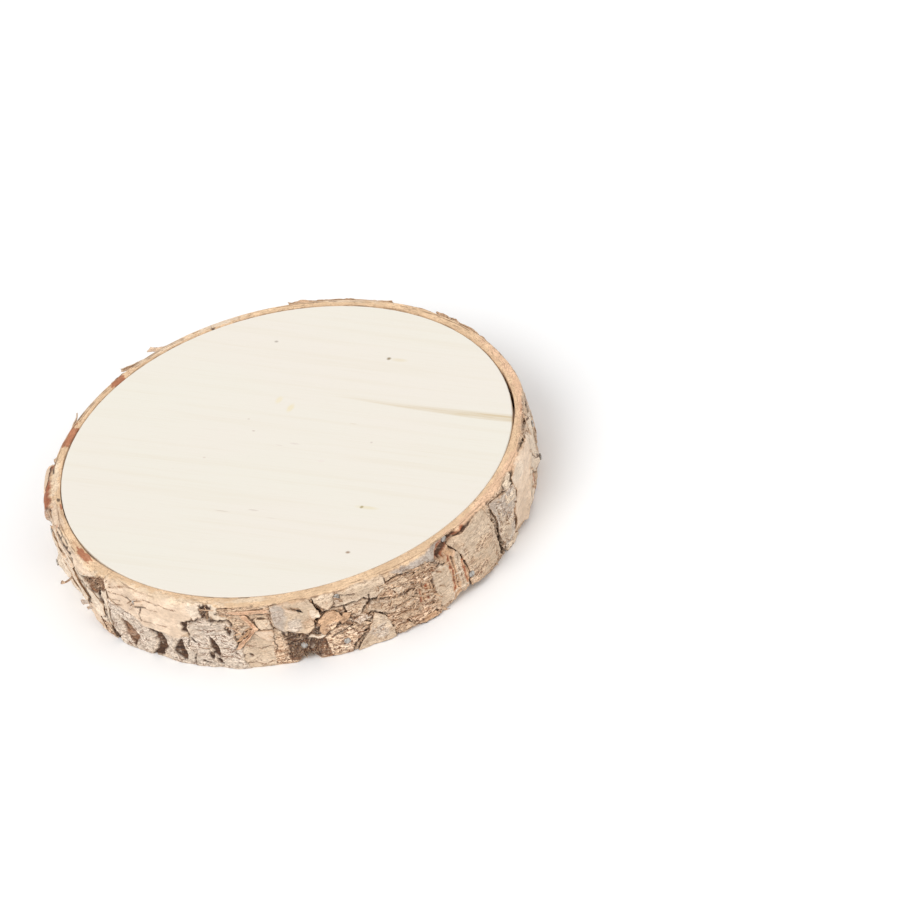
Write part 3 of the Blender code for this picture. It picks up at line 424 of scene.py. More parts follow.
# On the strips not seen from the front: first and last angle, lowest and highest point, how far they stand
# out, shade, and how much their edge curls
BOXES = {
    "bark_back_right": [
        (24, 34, 6, 30, 0.9, "beige", 0.6), (40, 56, 5, 14, 1.1, "cream", 0.6),
        (43, 58, 23, 35, 1.0, "peach", 0.7), (57, 74, 6, 18, 0.8, "beige", 0.4),
        (62, 72, 26, 37, 0.6, "sand", 0.6), (73, 81, 18, 36, 1.3, "beige", 0.8),
        (74, 84, 4, 12, 0.8, "fibre", 0.5), (86, 98, 4, 14, 1.0, "white", 0.6),
        (86, 96, 22, 34, 1.2, "sand", 0.9),
    ],
    "bark_back_left": [
        (103, 112, 6, 20, 1.0, "beige", 0.6), (104, 111, 28, 37, 0.6, "peach", 0.5),
        (112, 122, 21, 34, 1.0, "cream", 0.8), (119, 134, 5, 13, 1.1, "white", 0.6),
        (126, 136, 24, 36, 0.8, "sand", 0.6), (139, 148, 12, 30, 1.1, "beige", 0.7),
        (148, 162, 5, 12, 1.0, "cream", 0.6), (160, 174, 5, 12, 0.8, "beige", 0.4),
    ],
    "bark_left": [
        (177.5, 193, 3, 36, 1.0, "cream", 0.6), (180, 199, 6, 33, 2.2, "peach", 0.9),
        (184, 204, 3, 27, 3.0, "cream", 1.0), (194, 208, 2, 23, 1.5, "white", 0.8),
        (203, 211, 4, 24, 0.9, "grey", 0.7),
    ],
}

# Loose flakes: angle and height of the root, direction of the tip (0 along the rim, 90 up), length, width,
# how far the tip stands off, and shade
FLAKES = {
    "bark_front": [
        (246, 26, 200, 8, 5, 0.8, "white"), (290, 14, -70, 13, 16, 1.0, "fibre"),
        (227, 33.4, 178, 12, 4.6, 2.2, "peach"), (345.4, 35, 40, 5, 3, 1.8, "cream"),
        (347.4, 31, 20, 5, 3, 2.2, "white"), (345.6, 26, -60, 4, 2.6, 1.8, "cream"),
        (344.4, 29, 200, 4, 2.2, 1.4, "grey"), (354, 36.6, 185, 20, 2.6, 4.0, "white"),
        (368, 18, 0, 12, 10, 1.0, "white"),
    ],
    "bark_back_right": [
        (42, 26, 180, 12, 9, 2.6, "sand"), (33, 22, 0, 12, 14, 2.6, "beige"),
        (90, 14, 0, 15, 15, 3.0, "white"), (47, 12, -60, 15, 15, 3.0, "cream"),
        (70, 14, 180, 18, 12, 2.6, "beige"),
    ],
    "bark_back_left": [
        (117.4, 37.4, 0, 18, 4, 5.0, "cream"), (107.6, 37.2, 0, 20, 4.4, 5.2, "tan"),
        (149.6, 38, 180, 18, 3, 3.0, "cream"), (149, 28, 180, 16, 12, 2.2, "beige"),
        (150, 16, 180, 18, 14, 3.0, "beige"), (128, 17, -80, 12, 15, 3.0, "white"),
        (158, 37, 0, 4, 3, 1.2, "orange"), (110, 22, 0, 14, 10, 2.4, "sand"),
    ],
    "bark_left": [
        (194.5, 26, 262, 16, 1.3, 12, "brown"), (203, 12, 188, 10, 4, 3.6, "grey"),
        (203.6, 9, 196, 8, 2.4, 2.6, "white"), (181, 35, 200, 4, 3, 1.8, "white"),
        (178.4, 36.6, 190, 4, 3, 1.6, "grey"), (183, 36, 10, 4, 3, 1.2, "orange"),
    ],
}


# Numbers

def ease(x):
    """0 to 1 with a level start and end, for arrays."""
    x = np.clip(x, 0, 1)
    return x * x * (3 - 2 * x)


def around(angle, other):
    """The angle from other to angle, between -180 and 180 degrees."""
    return (angle - other + 180) % 360 - 180


def along_stops(angle, stops):
    """The value at this angle of a smooth ring through (angle, value) pairs."""
    angles = np.array([stop[0] for stop in stops] + [stops[0][0] + 360], float)
    values = np.array([stop[1] for stop in stops] + [stops[0][1]], float)
    angle = np.where(angle % 360 < angles[0], angle % 360 + 360, angle % 360)
    at = np.clip(np.searchsorted(angles, angle, side="right") - 1, 0, len(stops) - 1)
    share = (angle - angles[at]) / (angles[at + 1] - angles[at])
    return values[at] + (values[at + 1] - values[at]) * ease(share)


def bumps(angle, places):
    """The sum at this angle of soft bumps, each given by its middle, half width and height."""
    return sum(height * ease(1 - np.abs(around(angle, middle)) / half) for middle, half, height in places)


def lattice(column, row, seed):
    """A fixed random number from 0 to 1 for each point of a square grid."""
    mixed = (column * 374761393 + row * 668265263 + seed * 974711 + 12345) & 0xFFFFFFFF
    mixed = ((mixed ^ (mixed >> 13)) * 1274126177) & 0xFFFFFFFF
    return ((mixed ^ (mixed >> 16)) & 0xFFFFFF) / 0xFFFFFF


def noise(x, y, seed):
    """Smooth noise from -1 to 1, with one wave about every 2 units."""
    column, row = np.floor(x).astype(np.int64), np.floor(y).astype(np.int64)
    across, up = ease(x - column), ease(y - row)
    low = lattice(column, row, seed) * (1 - across) + lattice(column + 1, row, seed) * across
    high = lattice(column, row + 1, seed) * (1 - across) + lattice(column + 1, row + 1, seed) * across
    return 2 * (low * (1 - up) + high * up) - 1


def layered(x, y, seed, octaves=4):
    """Noise with finer noise on top, each layer half the size of the one before."""
    total, size = 0, 1.0
    for octave in range(octaves):
        total = total + size * noise(x / size, y / size, seed + 31 * octave)
        size /= 2
    return total


def cells(x, y, seed):
    """Distance to the border between random cells, and a random number for each cell."""
    column, row = np.floor(x).astype(np.int64), np.floor(y).astype(np.int64)
    nearest, second = np.full(x.shape, 9.0), np.full(x.shape, 9.0)
    mark = np.zeros(x.shape)
    for across in (-1, 0, 1):
        for up in (-1, 0, 1):
            c, r = column + across, row + up
            gap = np.hypot(c + lattice(c, r, seed) - x, r + lattice(c, r, seed + 1) - y)
            closer = gap < nearest
            second = np.where(closer, nearest, np.minimum(second, gap))
            mark = np.where(closer, lattice(c, r, seed + 2), mark)
            nearest = np.where(closer, gap, nearest)
    return second - nearest, mark


def segments_gap(s, z, points, closed):
    """Distance to a line of points, and whether each place is inside where the line is closed."""
    gap = np.full(s.shape, 1e9)
    inside = np.zeros(s.shape, bool)
    after = points[1:] + points[:1] if closed else points[1:]
    for (s0, z0), (s1, z1) in zip(points, after):
        ds, dz = s1 - s0, z1 - z0
        share = np.clip(((s - s0) * ds + (z - z0) * dz) / (ds * ds + dz * dz), 0, 1)
        gap = np.minimum(gap, np.hypot(s - s0 - share * ds, z - z0 - share * dz))
        if closed and dz:
            inside ^= ((z0 > z) != (z1 > z)) & (s < s0 + (z - z0) * ds / dz)
    return gap, inside


def linear(shade):
    """An sRGB colour of 0 to 255 as linear light."""
    values = np.array(shade, float) / 255
    return np.where(values <= 0.04045, values / 12.92, ((values + 0.055) / 1.055) ** 2.4)


TINTS = {name: linear(shade) for name, shade in SHADES.items()}


# The rim

def inner_radius(angle):
    """The bark's inside."""
    return WOOD_RADIUS + GAP + bumps(angle, WIDE_GAPS)


def ring_width(angle):
    """The bark's width on the upper face."""
    return along_stops(angle, RING_WIDTH) - bumps(angle, PINCHES)


def arc_length(angle):
    """Millimetres along the rim, as if the bark were laid flat."""
    return np.radians(angle) * FLAT_RADIUS


def flat_place(angle, depth):
    """A traced point as millimetres along the rim and up."""
    return float(arc_length(angle)), TOP - depth


def hollow_share(angle, height, first, last, low, high):
    """1 inside a hollow and 0 outside it, with soft sides."""
    middle, half = (first + last) / 2, (last - first) / 2
    across = ease((half + 0.7 * HOLLOW_EDGE - np.abs(around(angle, middle))) / HOLLOW_EDGE)
    return across * ease((np.minimum(height - low, high - height) + 0.8) / 1.6)


def rim_radius(angle, height):
    """The bark's outside without its patches and its fine relief."""
    shoulder = along_stops(angle, SHOULDER)
    over = np.clip((height - (TOP - shoulder)) / shoulder, 0, 1)
    radius = inner_radius(angle) + ring_width(angle)
    radius = radius - shoulder * (1 - np.sqrt(1 - np.minimum(over, 0.999) ** 2))
    radius = radius - bumps(angle, TAPERS) * ease((TOP - 6 - height) / 30)
    near_top = ease((TOP - height) / 5)
    waves = layered(arc_length(angle) / 11, height / 9, SEED) * 0.5 + 0.15
    radius = radius + waves * near_top
    for *box, depth in HOLLOWS:
        radius = radius - depth * hollow_share(angle, height, *box)
    return radius


HEAD_TOP = 0.5  # points this close to a nail's outer end belong to its head's top


def head_place(name):
    """A nail's angle and height, and how far out the top of its head is."""
    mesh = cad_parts[name].data
    points = np.empty(len(mesh.vertices) * 3, np.float32)
    mesh.vertices.foreach_get("co", points)
    points = points.reshape(-1, 3) / MM
    reach = np.hypot(points[:, 0], points[:, 1])
    far = points[reach > reach.max() - HEAD_TOP]
    middle = (far.min(0) + far.max(0)) / 2
    return math.degrees(math.atan2(middle[1], middle[0])), middle[2], reach.max()


NAILS = {name: head_place(name) for name in sorted(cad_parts) if name.startswith("nail")}
HEAD_HEIGHT = 0.7
SEAT_REACH = 2.0  # how far the flat seat reaches from a nail's middle
SEAT_EDGE = 4.0  # and how much farther its sloping edge


def seated(angle, height, radius):
    """Presses the bark in round each nail head."""
    pressed = radius
    for nail_angle, nail_height, head in NAILS.values():
        away = np.hypot(np.radians(around(angle, nail_angle)) * head, height - nail_height)
        beyond = np.maximum(away - SEAT_REACH, 0)
        seat = head - HEAD_HEIGHT
        held = np.clip(pressed, seat - 0.05 - 0.6 * beyond, seat + 0.25 + 1.3 * beyond)
        pressed = np.where(away < SEAT_REACH + SEAT_EDGE, held, pressed)
    return pressed


def cartesian(angle, radius, height):
    """Points in metres."""
    turned = np.radians(angle)
    return np.stack([radius * np.cos(turned), radius * np.sin(turned), height + 0 * radius], -1) * MM


def unrolled(s, height, radius):
    """Places as the bark's texture reads them: along the rim, up and out, in millimetres."""
    return np.stack([s, height, radius], -1)


# Meshes

def mesh_object(name, points, faces, attributes):
    """A smooth-shaded mesh object. attributes maps a name to (kind, values for each point)."""
    mesh = bpy.data.meshes.new(name)
    faces = np.asarray(faces, np.int32)
    mesh.vertices.add(len(points))
    mesh.vertices.foreach_set("co", np.asarray(points, np.float32).ravel())
    mesh.loops.add(faces.size)
    mesh.loops.foreach_set("vertex_index", faces.ravel())
    mesh.polygons.add(len(faces))
    mesh.polygons.foreach_set("loop_start", np.arange(0, faces.size, faces.shape[1], dtype=np.int32))
    mesh.update(calc_edges=True)
    for title, (kind, values) in attributes.items():
        made = mesh.attributes.new(title, kind, "POINT")
        field = "color" if kind == "FLOAT_COLOR" else "vector"
        made.data.foreach_set(field, np.asarray(values, np.float32).ravel())
    mesh.shade_smooth()
    obj = bpy.data.objects.new(name, mesh)
    bpy.context.scene.collection.objects.link(obj)
    return obj


class Sheets:
    """Collects closed pieces of bark that end up in one mesh."""

    def __init__(self):
        self.points, self.faces, self.tints, self.marks, self.flat = [], [], [], [], []
        self.count = 0

    def add(self, points, faces, tint, marks, flat):
        """Takes grids of points, colours, texture amounts and flat places, and quads of point numbers."""
        tint, marks = tint.reshape(-1, 3), marks.reshape(-1, 4)
        self.points.append(points.reshape(-1, 3))
        self.faces.append(faces + self.count)
        self.tints.append(np.concatenate([tint, np.ones((len(tint), 1))], 1))
        self.marks.append(marks)
        self.flat.append(flat.reshape(-1, 3))
        self.count += len(tint)

    def build(self, name):
        attributes = {
            "tint": ("FLOAT_COLOR", np.concatenate(self.tints)),
            "marks": ("FLOAT_COLOR", np.concatenate(self.marks)),
            "unrolled": ("FLOAT_VECTOR", np.concatenate(self.flat)),
        }
        return mesh_object(name, np.concatenate(self.points), np.concatenate(self.faces), attributes)


def grid_quads(rows, columns, wrap_rows=False, wrap_columns=False):
    """Quads of a grid whose points are numbered row by row, joined last to first where wrapped."""
    index = np.arange(rows * columns).reshape(rows, columns)
    if wrap_rows:
        index = np.concatenate([index, index[:1]])
    if wrap_columns:
        index = np.concatenate([index, index[:, :1]], 1)
    quads = [index[:-1, :-1], index[1:, :-1], index[1:, 1:], index[:-1, 1:]]
    return np.stack([quad.ravel() for quad in quads], 1)


def zipped(ring, turn=1):
    """Quads that close a ring of points, pairing them off from both ends."""
    half = len(ring) // 2
    near, far = ring[:half], ring[::-1][:half]
    return np.stack([near[:-1], near[1:], far[1:], far[:-1]], 1)[:, ::turn]


def two_sided(rows, columns):
    """Quads that close two grids, front then back, round their border."""
    front = grid_quads(rows, columns)
    back = front[:, ::-1] + rows * columns
    index = np.arange(rows * columns).reshape(rows, columns)
    border = np.concatenate([index[0, :-1], index[:-1, -1], index[-1, :0:-1], index[:0:-1, 0]])
    after = np.roll(border, -1)
    other = rows * columns
    sides = np.stack([border, after, after + other, border + other], 1)
    return np.concatenate([front, back, sides])


# Colour and relief of the bark

# Waves that bend the outlines of patches and lines: size, reach, and number of the noise pattern
WOBBLES = [(4.0, 0.8, 51), (1.5, 0.5, 53), (0.7, 0.45, 55)]
MEAN_REACH = 3  # how many points each way count as round a place
HIDDEN_CORNERS = 13  # of a patch that isn't seen from the front


class Skin:
    """Relief, colour and texture amounts at a grid of places on the bark."""

    def __init__(self, angle, height, shade="sand"):
        self.s, self.z = arc_length(angle), height
        self.relief = np.zeros(angle.shape)
        self.tint = np.broadcast_to(TINTS[shade], angle.shape + (3,))
        self.marks = np.broadcast_to(np.array(TEXTURE[shade]), angle.shape + (4,))
        self.rust_and_shade_share = np.zeros(angle.shape)
        wander = noise(self.s / 6, height / 6, SEED + 50) * 0.5 + 0.7
        self.ws, self.wz = self.s, height
        for size, reach, number in WOBBLES:
            place = self.s / size, height / size
            self.ws = self.ws + wander * reach * noise(*place, SEED + number)
            self.wz = self.wz + wander * reach * 0.8 * noise(*place, SEED + number + 1)

    def paint(self, shade, share):
        self.tint = self.tint + (TINTS[shade] - self.tint) * share[..., None]
        self.marks = self.marks + (np.array(TEXTURE[shade]) - self.marks) * share[..., None]

    def patch(self, shade, level, lift, crack, outline, seed):
        """A raised or sunken piece of the surface, with a crack round it and an edge that curls up."""
        corners = [flat_place(*corner) for corner in outline]
        gap, inside = segments_gap(self.ws, self.wz, corners, closed=True)
        gap = np.where(inside, -gap, gap)
        along = noise(self.s / 5, self.z / 5, seed)
        width = crack * np.clip(0.55 + along, 0, 1.4)
        groove = ease((gap + 0.3) / 0.4) * ease((width - gap) / 0.4 + 0.5) * ease(width / 0.5)
        self.relief = self.relief - 1.1 * groove
        self.paint("dark", 0.85 * groove)
        share = ease(0.5 - (gap - (0.35 if level < 0 else 0)) / 0.7)
        # Red-brown patches, one of them painted shadow, hold back the painted shade of the hollows
        if shade == "rust":
            self.rust_and_shade_share = np.maximum(self.rust_and_shade_share, share)
        curl = lift * np.clip(0.4 + noise(self.s / 4, self.z / 4, seed + 1), 0, 1.3) * ease(1 + gap / 2.4)
        buckle = 0.25 * layered(self.s / 10, self.z / 7, seed + 2, 3)
        self.relief = self.relief + (level + curl + buckle - self.relief) * share
        self.paint(shade, share)
        frayed = ease(1 - np.abs(gap) / 0.8) * np.clip(0.2 + along, 0, 0.8) * (0 if level < 0 else 1)
        self.paint("torn", frayed * share)

    def line(self, shade, width, depth, course):
        """A groove with slightly raised edges."""
        points = [flat_place(*point) for point in course]
        gap, _ = segments_gap(self.ws, self.wz, points, closed=False)
        thick = width * (0.8 + 0.7 * noise(self.s / 2, self.z / 2, SEED + 61))
        share = ease((thick / 2 + 0.35 - gap) / 0.45)
        self.relief = self.relief - depth * share
        self.paint(shade, share * (1 if width > 0.5 else 0.75))
        edge = ease(1 - np.abs(gap - thick / 2 - 0.7) / 0.8) * depth
        uneven = np.clip(0.3 + noise(self.s / 3, self.z / 3, SEED + 62), 0, 1)
        self.relief = self.relief + 0.25 * edge * uneven

    def shadow(self, level, outline, seed):
        """A broken dark band round the outline of a sheet that lies over this skin: painted shadow of that
        sheet over a shallow groove.
        """
        corners = [flat_place(*corner[:2]) for corner in outline]
        gap, _ = segments_gap(self.ws, self.wz, corners, closed=True)
        thick = np.clip(0.25 + 0.15 * level + 0.5 * noise(self.s / 3.5, self.z / 3.5, seed), 0, 0.9)
        share = ease((thick + 0.25 - gap) / 0.4) * ease(thick / 0.3)
        self.relief = self.relief - 0.5 * share
        # Painted shadow, darkest under the sheets that stand out most
        self.paint("dark" if level > 1.2 else "scar", 0.85 * share)

    def roughen(self):
        """Fine relief and uneven colour, by how rough and lined each place is, with painted shade in the
        relief's pits and painted highlight on its tops.
        """
        s, z = self.s, self.z
        lines, specks, fibres, rough = np.moveaxis(self.marks, -1, 0)
        border, mark = cells(s / 2.6 + noise(s / 2, z / 2, SEED + 11), z / 1.9, SEED + 12)
        crumbs = (mark - 0.5) + 0.5 * ease(border / 0.2) - 0.4 + 0.5 * layered(s / 1.2, z / 0.9, SEED + 14, 2)
        ridges = layered(s / 6, z / 1.0, SEED + 13, 3)
        scales, level = cells(s / 6 + 0.6 * noise(s / 3, z / 2, SEED + 15), z / 1.7, SEED + 16)
        self.relief = self.relief + rough * (1.1 * crumbs) + 0.08 * (lines + fibres) * ridges
        self.relief = self.relief + 0.45 * lines * rough * (level - 0.5) * 2
        self.relief = self.relief + 0.05 * layered(s / 1.4, z / 1.2, SEED + 17, 2)
        dash = ease((0.11 - scales) / 0.08) * np.clip(noise(s / 4, z / 3, SEED + 18) + 0.3, 0, 1)
        self.paint_only("brown", 0.75 * dash * lines)
        self.paint_only("crack", 0.85 * dash * fibres)
        cloud = layered(s / 7, z / 4, SEED + 19, 3)
        self.paint_only("white", 0.35 * ease(cloud * 0.8 - 0.1) * lines)
        self.paint_only("torn", 0.30 * ease(-cloud * 0.8 - 0.1) * np.maximum(lines, 0.3))
        patchy = ease(layered(s / 2.2, z / 1.1, SEED + 20, 3) - 0.2)
        self.paint_only("grey", 0.45 * patchy * lines)
        # Painted shade in the low pits of the crumbly relief
        self.paint_only("dark", 0.55 * ease(-crumbs * 1.4) * specks * rough * 2)
        # Painted highlight on the tops of the crumbly relief
        highlit_tops = ease(crumbs * 1.4 - 0.6) * ease(rough * 2 - 0.4)
        self.paint_only("beige", 0.6 * highlit_tops * ease(cloud + 0.4))
        self.tint = self.tint * (1 + 0.10 * layered(s / 3, z / 1.6, SEED + 22, 4))[..., None]

    def paint_only(self, shade, share):
        share = np.clip(share, 0, 1)[..., None]
        self.tint = self.tint + (TINTS[shade] - self.tint) * share

    def paint_shade_and_highlights(self, surface):
        """Paints shade into places lower than those round them and a highlight onto those higher, on a grid
        of radii.
        """
        mean = surface
        for axis in (0, 1, 0, 1):
            count = mean.shape[axis]
            padded = np.clip(np.arange(-MEAN_REACH, count + MEAN_REACH), 0, count - 1)
            total = np.cumsum(np.take(mean, padded, axis), axis)
            upper = np.take(total, np.arange(2 * MEAN_REACH, count + 2 * MEAN_REACH), axis)
            mean = (upper - np.take(total, np.arange(count), axis)) / (2 * MEAN_REACH)
        # Painted shade in the hollows of the relief, in dark brown, weaker on red-brown patches
        self.paint_only("scar", 0.85 * (1 - 0.8 * self.rust_and_shade_share) * ease((mean - surface - 0.10) / 0.45))
        # Painted highlight on the raised places
        self.paint_only("cream", 0.50 * ease((surface - mean - 0.08) / 0.4))


def hidden_patch(box, draw):
    """An uneven, slanting outline round a box on a strip that isn't seen from the front."""
    first, last, low, high = box
    slant = draw.uniform(-0.3, 0.3)
    outline = []
    for corner in range(HIDDEN_CORNERS):
        turn = math.tau * corner / HIDDEN_CORNERS
        reach = 0.58 * draw.uniform(0.84, 1.16) * (1 + 0.25 * abs(math.sin(2 * turn)))
        u, v = reach * math.cos(turn), reach * math.sin(turn)
        depth = low + (high - low) * (0.5 + v + slant * u)
        outline.append((first + (last - first) * (0.5 + u), TOP - depth))
    return outline


# Pieces of bark

FINE = 0.5  # spacing of points on the visible bark
TOP_ROWS, SHOULDER_ROWS, SIDE_ROWS, FOOT_ROWS, BACK_ROWS = 20, 8, 74, 3, 3
FOOT = 1.0  # rounding of the lower edge
DEEPEST = -3.0  # how far the relief may go in
HIDDEN_CRACKS = (0.0, 0.5, 0.8)  # widths of the cracks round patches that aren't seen from the front


def section_outline(angle):
    """Radius, height and share of the way from ring to side of each point round a strip's section."""
    inner, low = inner_radius(angle), bumps(angle, SHORT_EDGES)
    shoulder = along_stops(angle, SHOULDER)
    outer = inner + ring_width(angle)
    rows = []
    for row in range(TOP_ROWS):
        rows.append((inner + (outer - shoulder - inner) * (row / TOP_ROWS), TOP, 0))
    for row in range(SHOULDER_ROWS):
        height = TOP - shoulder * (1 - math.cos(math.pi / 2 * row / SHOULDER_ROWS))
        rows.append((rim_radius(angle, height), height, row / SHOULDER_ROWS))
    for row in range(SIDE_ROWS + 1):
        height = TOP - shoulder + (low + FOOT - TOP + shoulder) * row / SIDE_ROWS
        rows.append((rim_radius(angle, height), height, 1))
    lowest = rim_radius(angle, low + FOOT)
    for row in range(1, FOOT_ROWS + 1):
        turn = math.pi / 2 * row / FOOT_ROWS
        rows.append((lowest - FOOT + FOOT * math.cos(turn), low + FOOT - FOOT * math.sin(turn), 1))
    for row in range(1, BACK_ROWS + 1):
        share = row / BACK_ROWS
        rows.append((lowest * (1 - share) + inner * share - FOOT * (1 - share), low, 1))
    return [np.array([part + 0 * angle for part in parts]) for parts in zip(*rows)]


# Marks on the cut upper edge: shade, angle, place across the ring from 0 to 1, half angle, half share
RING_MARKS = [
    ("rust", 200.8, 0.36, 4.6, 0.34), ("tan", 195.6, 0.3, 1.6, 0.2), ("rust", 128.5, 0.5, 2.8, 0.8),
    ("rust", 152, 0.5, 5.0, 0.8), ("torn", 350, 0.8, 14, 0.4), ("ring_edge", 228, 0.9, 20, 0.7),
    ("ring_edge", 196, 0.85, 14, 0.3), ("rust", 186, 0.92, 1.0, 0.14), ("rust", 179.2, 0.85, 1.0, 0.16),
    ("rust", 179.6, 0.1, 1.6, 0.12), ("rust", 354.4, 0.86, 3.8, 0.2), ("cream", 98, 0.6, 7, 0.5),
    ("ring_edge", 65, 0.9, 12, 0.5), ("ring_edge", 252, 0.3, 8, 0.3), ("ring_edge", 168, 0.6, 8, 0.5),
    ("ring_edge", 138, 0.8, 8, 0.4), ("ring_edge", 114, 0.6, 12, 0.5), ("orange", 322, 0.7, 26, 0.5),
    ("orange", 8, 0.7, 22, 0.6), ("peach", 182, 0.6, 8, 0.5), ("crust", 100.4, 0.1, 0.8, 0.2),
    ("dark", 176.6, 0.25, 0.7, 0.2),
]
# Fine cracks in the cut upper edge: shade, width, and their course as angles and radii
RING_CRACKS = [
    ("dark", 0.4, [(187, 124.8), (190, 124.8), (195.9, 125.4), (200.6, 126.2)]),
    ("brown", 0.3, [(184, 123), (192, 123.4), (198, 124.6)]),
    ("brown", 0.3, [(178, 121.6), (184, 122.6), (188, 124.6)]),
    ("brown", 0.3, [(104, 122.6), (112, 122.9), (125, 122.3)]),
    ("brown", 0.3, [(107, 121.6), (116, 121.9), (123, 121)]),
    ("brown", 0.3, [(131, 122.4), (139, 122.2), (149, 122.8)]),
    ("brown", 0.3, [(133, 121.2), (146, 121.4)]), ("dark", 0.5, [(139, 123.2), (141, 123.4), (145, 122.9)]),
    ("dark", 0.6, [(159, 123.6), (163.9, 124), (168, 123.2)]), ("brown", 0.3, [(150, 122.9), (158, 123.4)]),
    ("brown", 0.3, [(262, 126.2), (275, 126.8), (288, 126.6)]),
    ("brown", 0.3, [(276, 124.4), (290, 125.4), (300, 125.6)]),
    ("brown", 0.3, [(216, 123.4), (222, 125.2), (228, 126)]),
    ("brown", 0.3, [(330, 124.6), (342, 124.8), (350, 123.9)]),
    ("brown", 0.3, [(30, 123.2), (42, 123), (52, 122.7)]),
    ("brown", 0.3, [(60, 122.4), (72, 122.8), (84, 122.4)]), ("brown", 0.25, [(306, 124.8), (318, 124.2)]),
    ("dark", 0.4, [(211.9, 119), (212, 124), (211.9, 127)]),
    ("scar", 0.35, [(240, 119.6), (246, 120), (252, 119.8)]),
]


def painted_side(name, angle, heights, draw):
    """The side of a strip: its stains, patches and lines, and the shadows of its sheets."""
    skin = Skin(angle, heights, "sand")
    for shade, middle, level, half, tall in STAINS:
        near = np.hypot(around(angle, middle) / half, (heights - level) / tall)
        uneven = 0.35 * layered(skin.s / 3, heights / 3, SEED + 5)
        skin.paint(shade, ease((1.1 - near + uneven) / 0.35))
    for *box, raised, shade, curl in BOXES.get(name, []):
        outline = hidden_patch(box, draw)
        crack = draw.choice(HIDDEN_CRACKS)
        skin.patch(shade, raised, curl * 0.6, crack, outline, draw.randrange(SEED_RANGE))
    for patch in PATCHES.get(name, []):
        skin.patch(*patch, draw.randrange(SEED_RANGE))
    for line in LINES.get(name, []):
        skin.line(*line)
    for _, level, outline in SHEETS[name]:
        skin.shadow(level, outline, draw.randrange(SEED_RANGE))
    skin.roughen()
    return skin


def painted_ring(angle, heights, radii):
    """The cut upper edge of a strip, with its marks and cracks, painted shade along its inner edge, and the
    pattern of its grain.
    """
    s = arc_length(angle)
    across = (radii - inner_radius(angle)) / ring_width(angle)
    ring = Skin(angle, heights, "ring")
    ring.paint("tan", 0.22 * ease(1 - across / 0.35) + 0 * s)
    uneven = 0.35 * layered(s / 2.6, radii / 1.4, SEED + 70, 3)
    for shade, middle, place, half, tall in RING_MARKS:
        near = np.hypot(around(angle, middle) / half, (across - place) / tall)
        crisp = 0.15 if shade in ("rust", "dark", "crust") else 0.5
        ring.paint_only(shade, 0.85 * ease((1.0 - near + uneven) / crisp))
    wavy = s + 0.6 * noise(s / 3, radii, SEED + 74), radii + 0.25 * noise(s / 4, radii, SEED + 75)
    broken = ease(noise(s / 3, 0 * s, SEED + 76) + 0.9)
    for shade, width, course in RING_CRACKS:
        points = [(float(arc_length(place)), radius) for place, radius in course]
        gap, _ = segments_gap(*wavy, points, closed=False)
        ring.paint_only(shade, 0.9 * ease((width / 2 + 0.3 - gap) / 0.4) * broken)
    grain = layered(s / 9, radii / 0.5, SEED + 21, 3)
    split = np.abs(layered(s / 22, radii / 1.3, SEED + 77, 3))
    here_and_there = ease(noise(s / 14, 0 * s, SEED + 78) * 1.5 + 0.4)
    ring.paint_only("brown", 0.6 * ease((0.09 - split) / 0.09) * here_and_there)
    ring.paint_only("torn", 0.20 * ease(grain * 1.2 - 0.2))
    stronger = 0.4 + 0.6 * ease(noise(s / 12, s / 12, SEED + 71) + 0.5)
    ring.paint_only("brown", 0.28 * ease(-grain * 1.4 - 0.8) * stronger)
    # Painted shade of the gap between wood and bark, along the ring's inner edge
    gap_shade = ease(1 - across / 0.07) * ease(noise(s / 5, 0 * s, SEED + 72) + 0.4)
    ring.paint_only("brown", 0.5 * gap_shade)
    return ring, grain


def add_base(sheets, name, draw):
    """A strip's body: a closed skin over its cut upper edge, its side and its hidden inner face."""
    first, last = STRIPS[name]
    half_seam = math.degrees(SEAM / 5 / WOOD_RADIUS)
    columns = round(arc_length(last - first) / FINE) + 1
    angles = np.linspace(first + half_seam, last - half_seam, columns)
    radii, heights, kinds = section_outline(angles)
    angle = np.broadcast_to(angles, radii.shape)
    inward, upward = np.gradient(radii, axis=0), np.gradient(heights, axis=0)
    size = np.hypot(inward, upward) + 1e-9
    out, up = -upward / size, inward / size
    side = kinds * (radii > inner_radius(angle) + 0.5)
    side[-BACK_ROWS:] = 0

    skin = painted_side(name, angle, heights, draw)
    smooth_top = ease((TOP - heights) / 3.0)
    push = np.maximum(skin.relief * ease(side) * (0.25 + 0.75 * smooth_top), DEEPEST)
    # Painted shade in the relief's hollows and painted highlight on its raised places
    skin.paint_shade_and_highlights(push)
    ring, grain = painted_ring(angle, heights, radii)
    s = skin.s
    border = side * 1.6 - 0.25 + 0.5 * layered(s / 4, 0 * s, SEED + 73, 4) * (side > 0) * (side < 1)
    blend = ease(border)[..., None]
    tint = ring.tint + (skin.tint - ring.tint) * blend
    marks = ring.marks + (skin.marks - ring.marks) * blend

    push = push - 0.06 * (1 - side) * (heights > TOP - 3) * (1 + np.clip(-grain, -1, 1))
    radii, heights = radii + push * out, heights + push * up
    radii = np.where(side > 0.5, seated(angle, heights, radii), radii)
    heights = np.clip(heights, 0, TOP)
    points = cartesian(angle, radii, heights)
    flat = unrolled(s, heights, radii)
    rows = len(radii)
    sheets.add(points, grid_quads(rows, columns, wrap_rows=True), tint, marks, flat)
    for column, turn in ((0, 1), (columns - 1, -1)):
        ends = [part[:, column] for part in (points, tint, marks, flat)]
        sheets.add(ends[0], zipped(np.arange(rows), turn), *ends[1:])


SHEET_THICKNESS = 0.4
CHIP_THICKNESS = 0.25
BORDER_STEP = 0.6  # spacing of points along a sheet's outline
RING_STEP = 0.8  # and from its outline to its middle


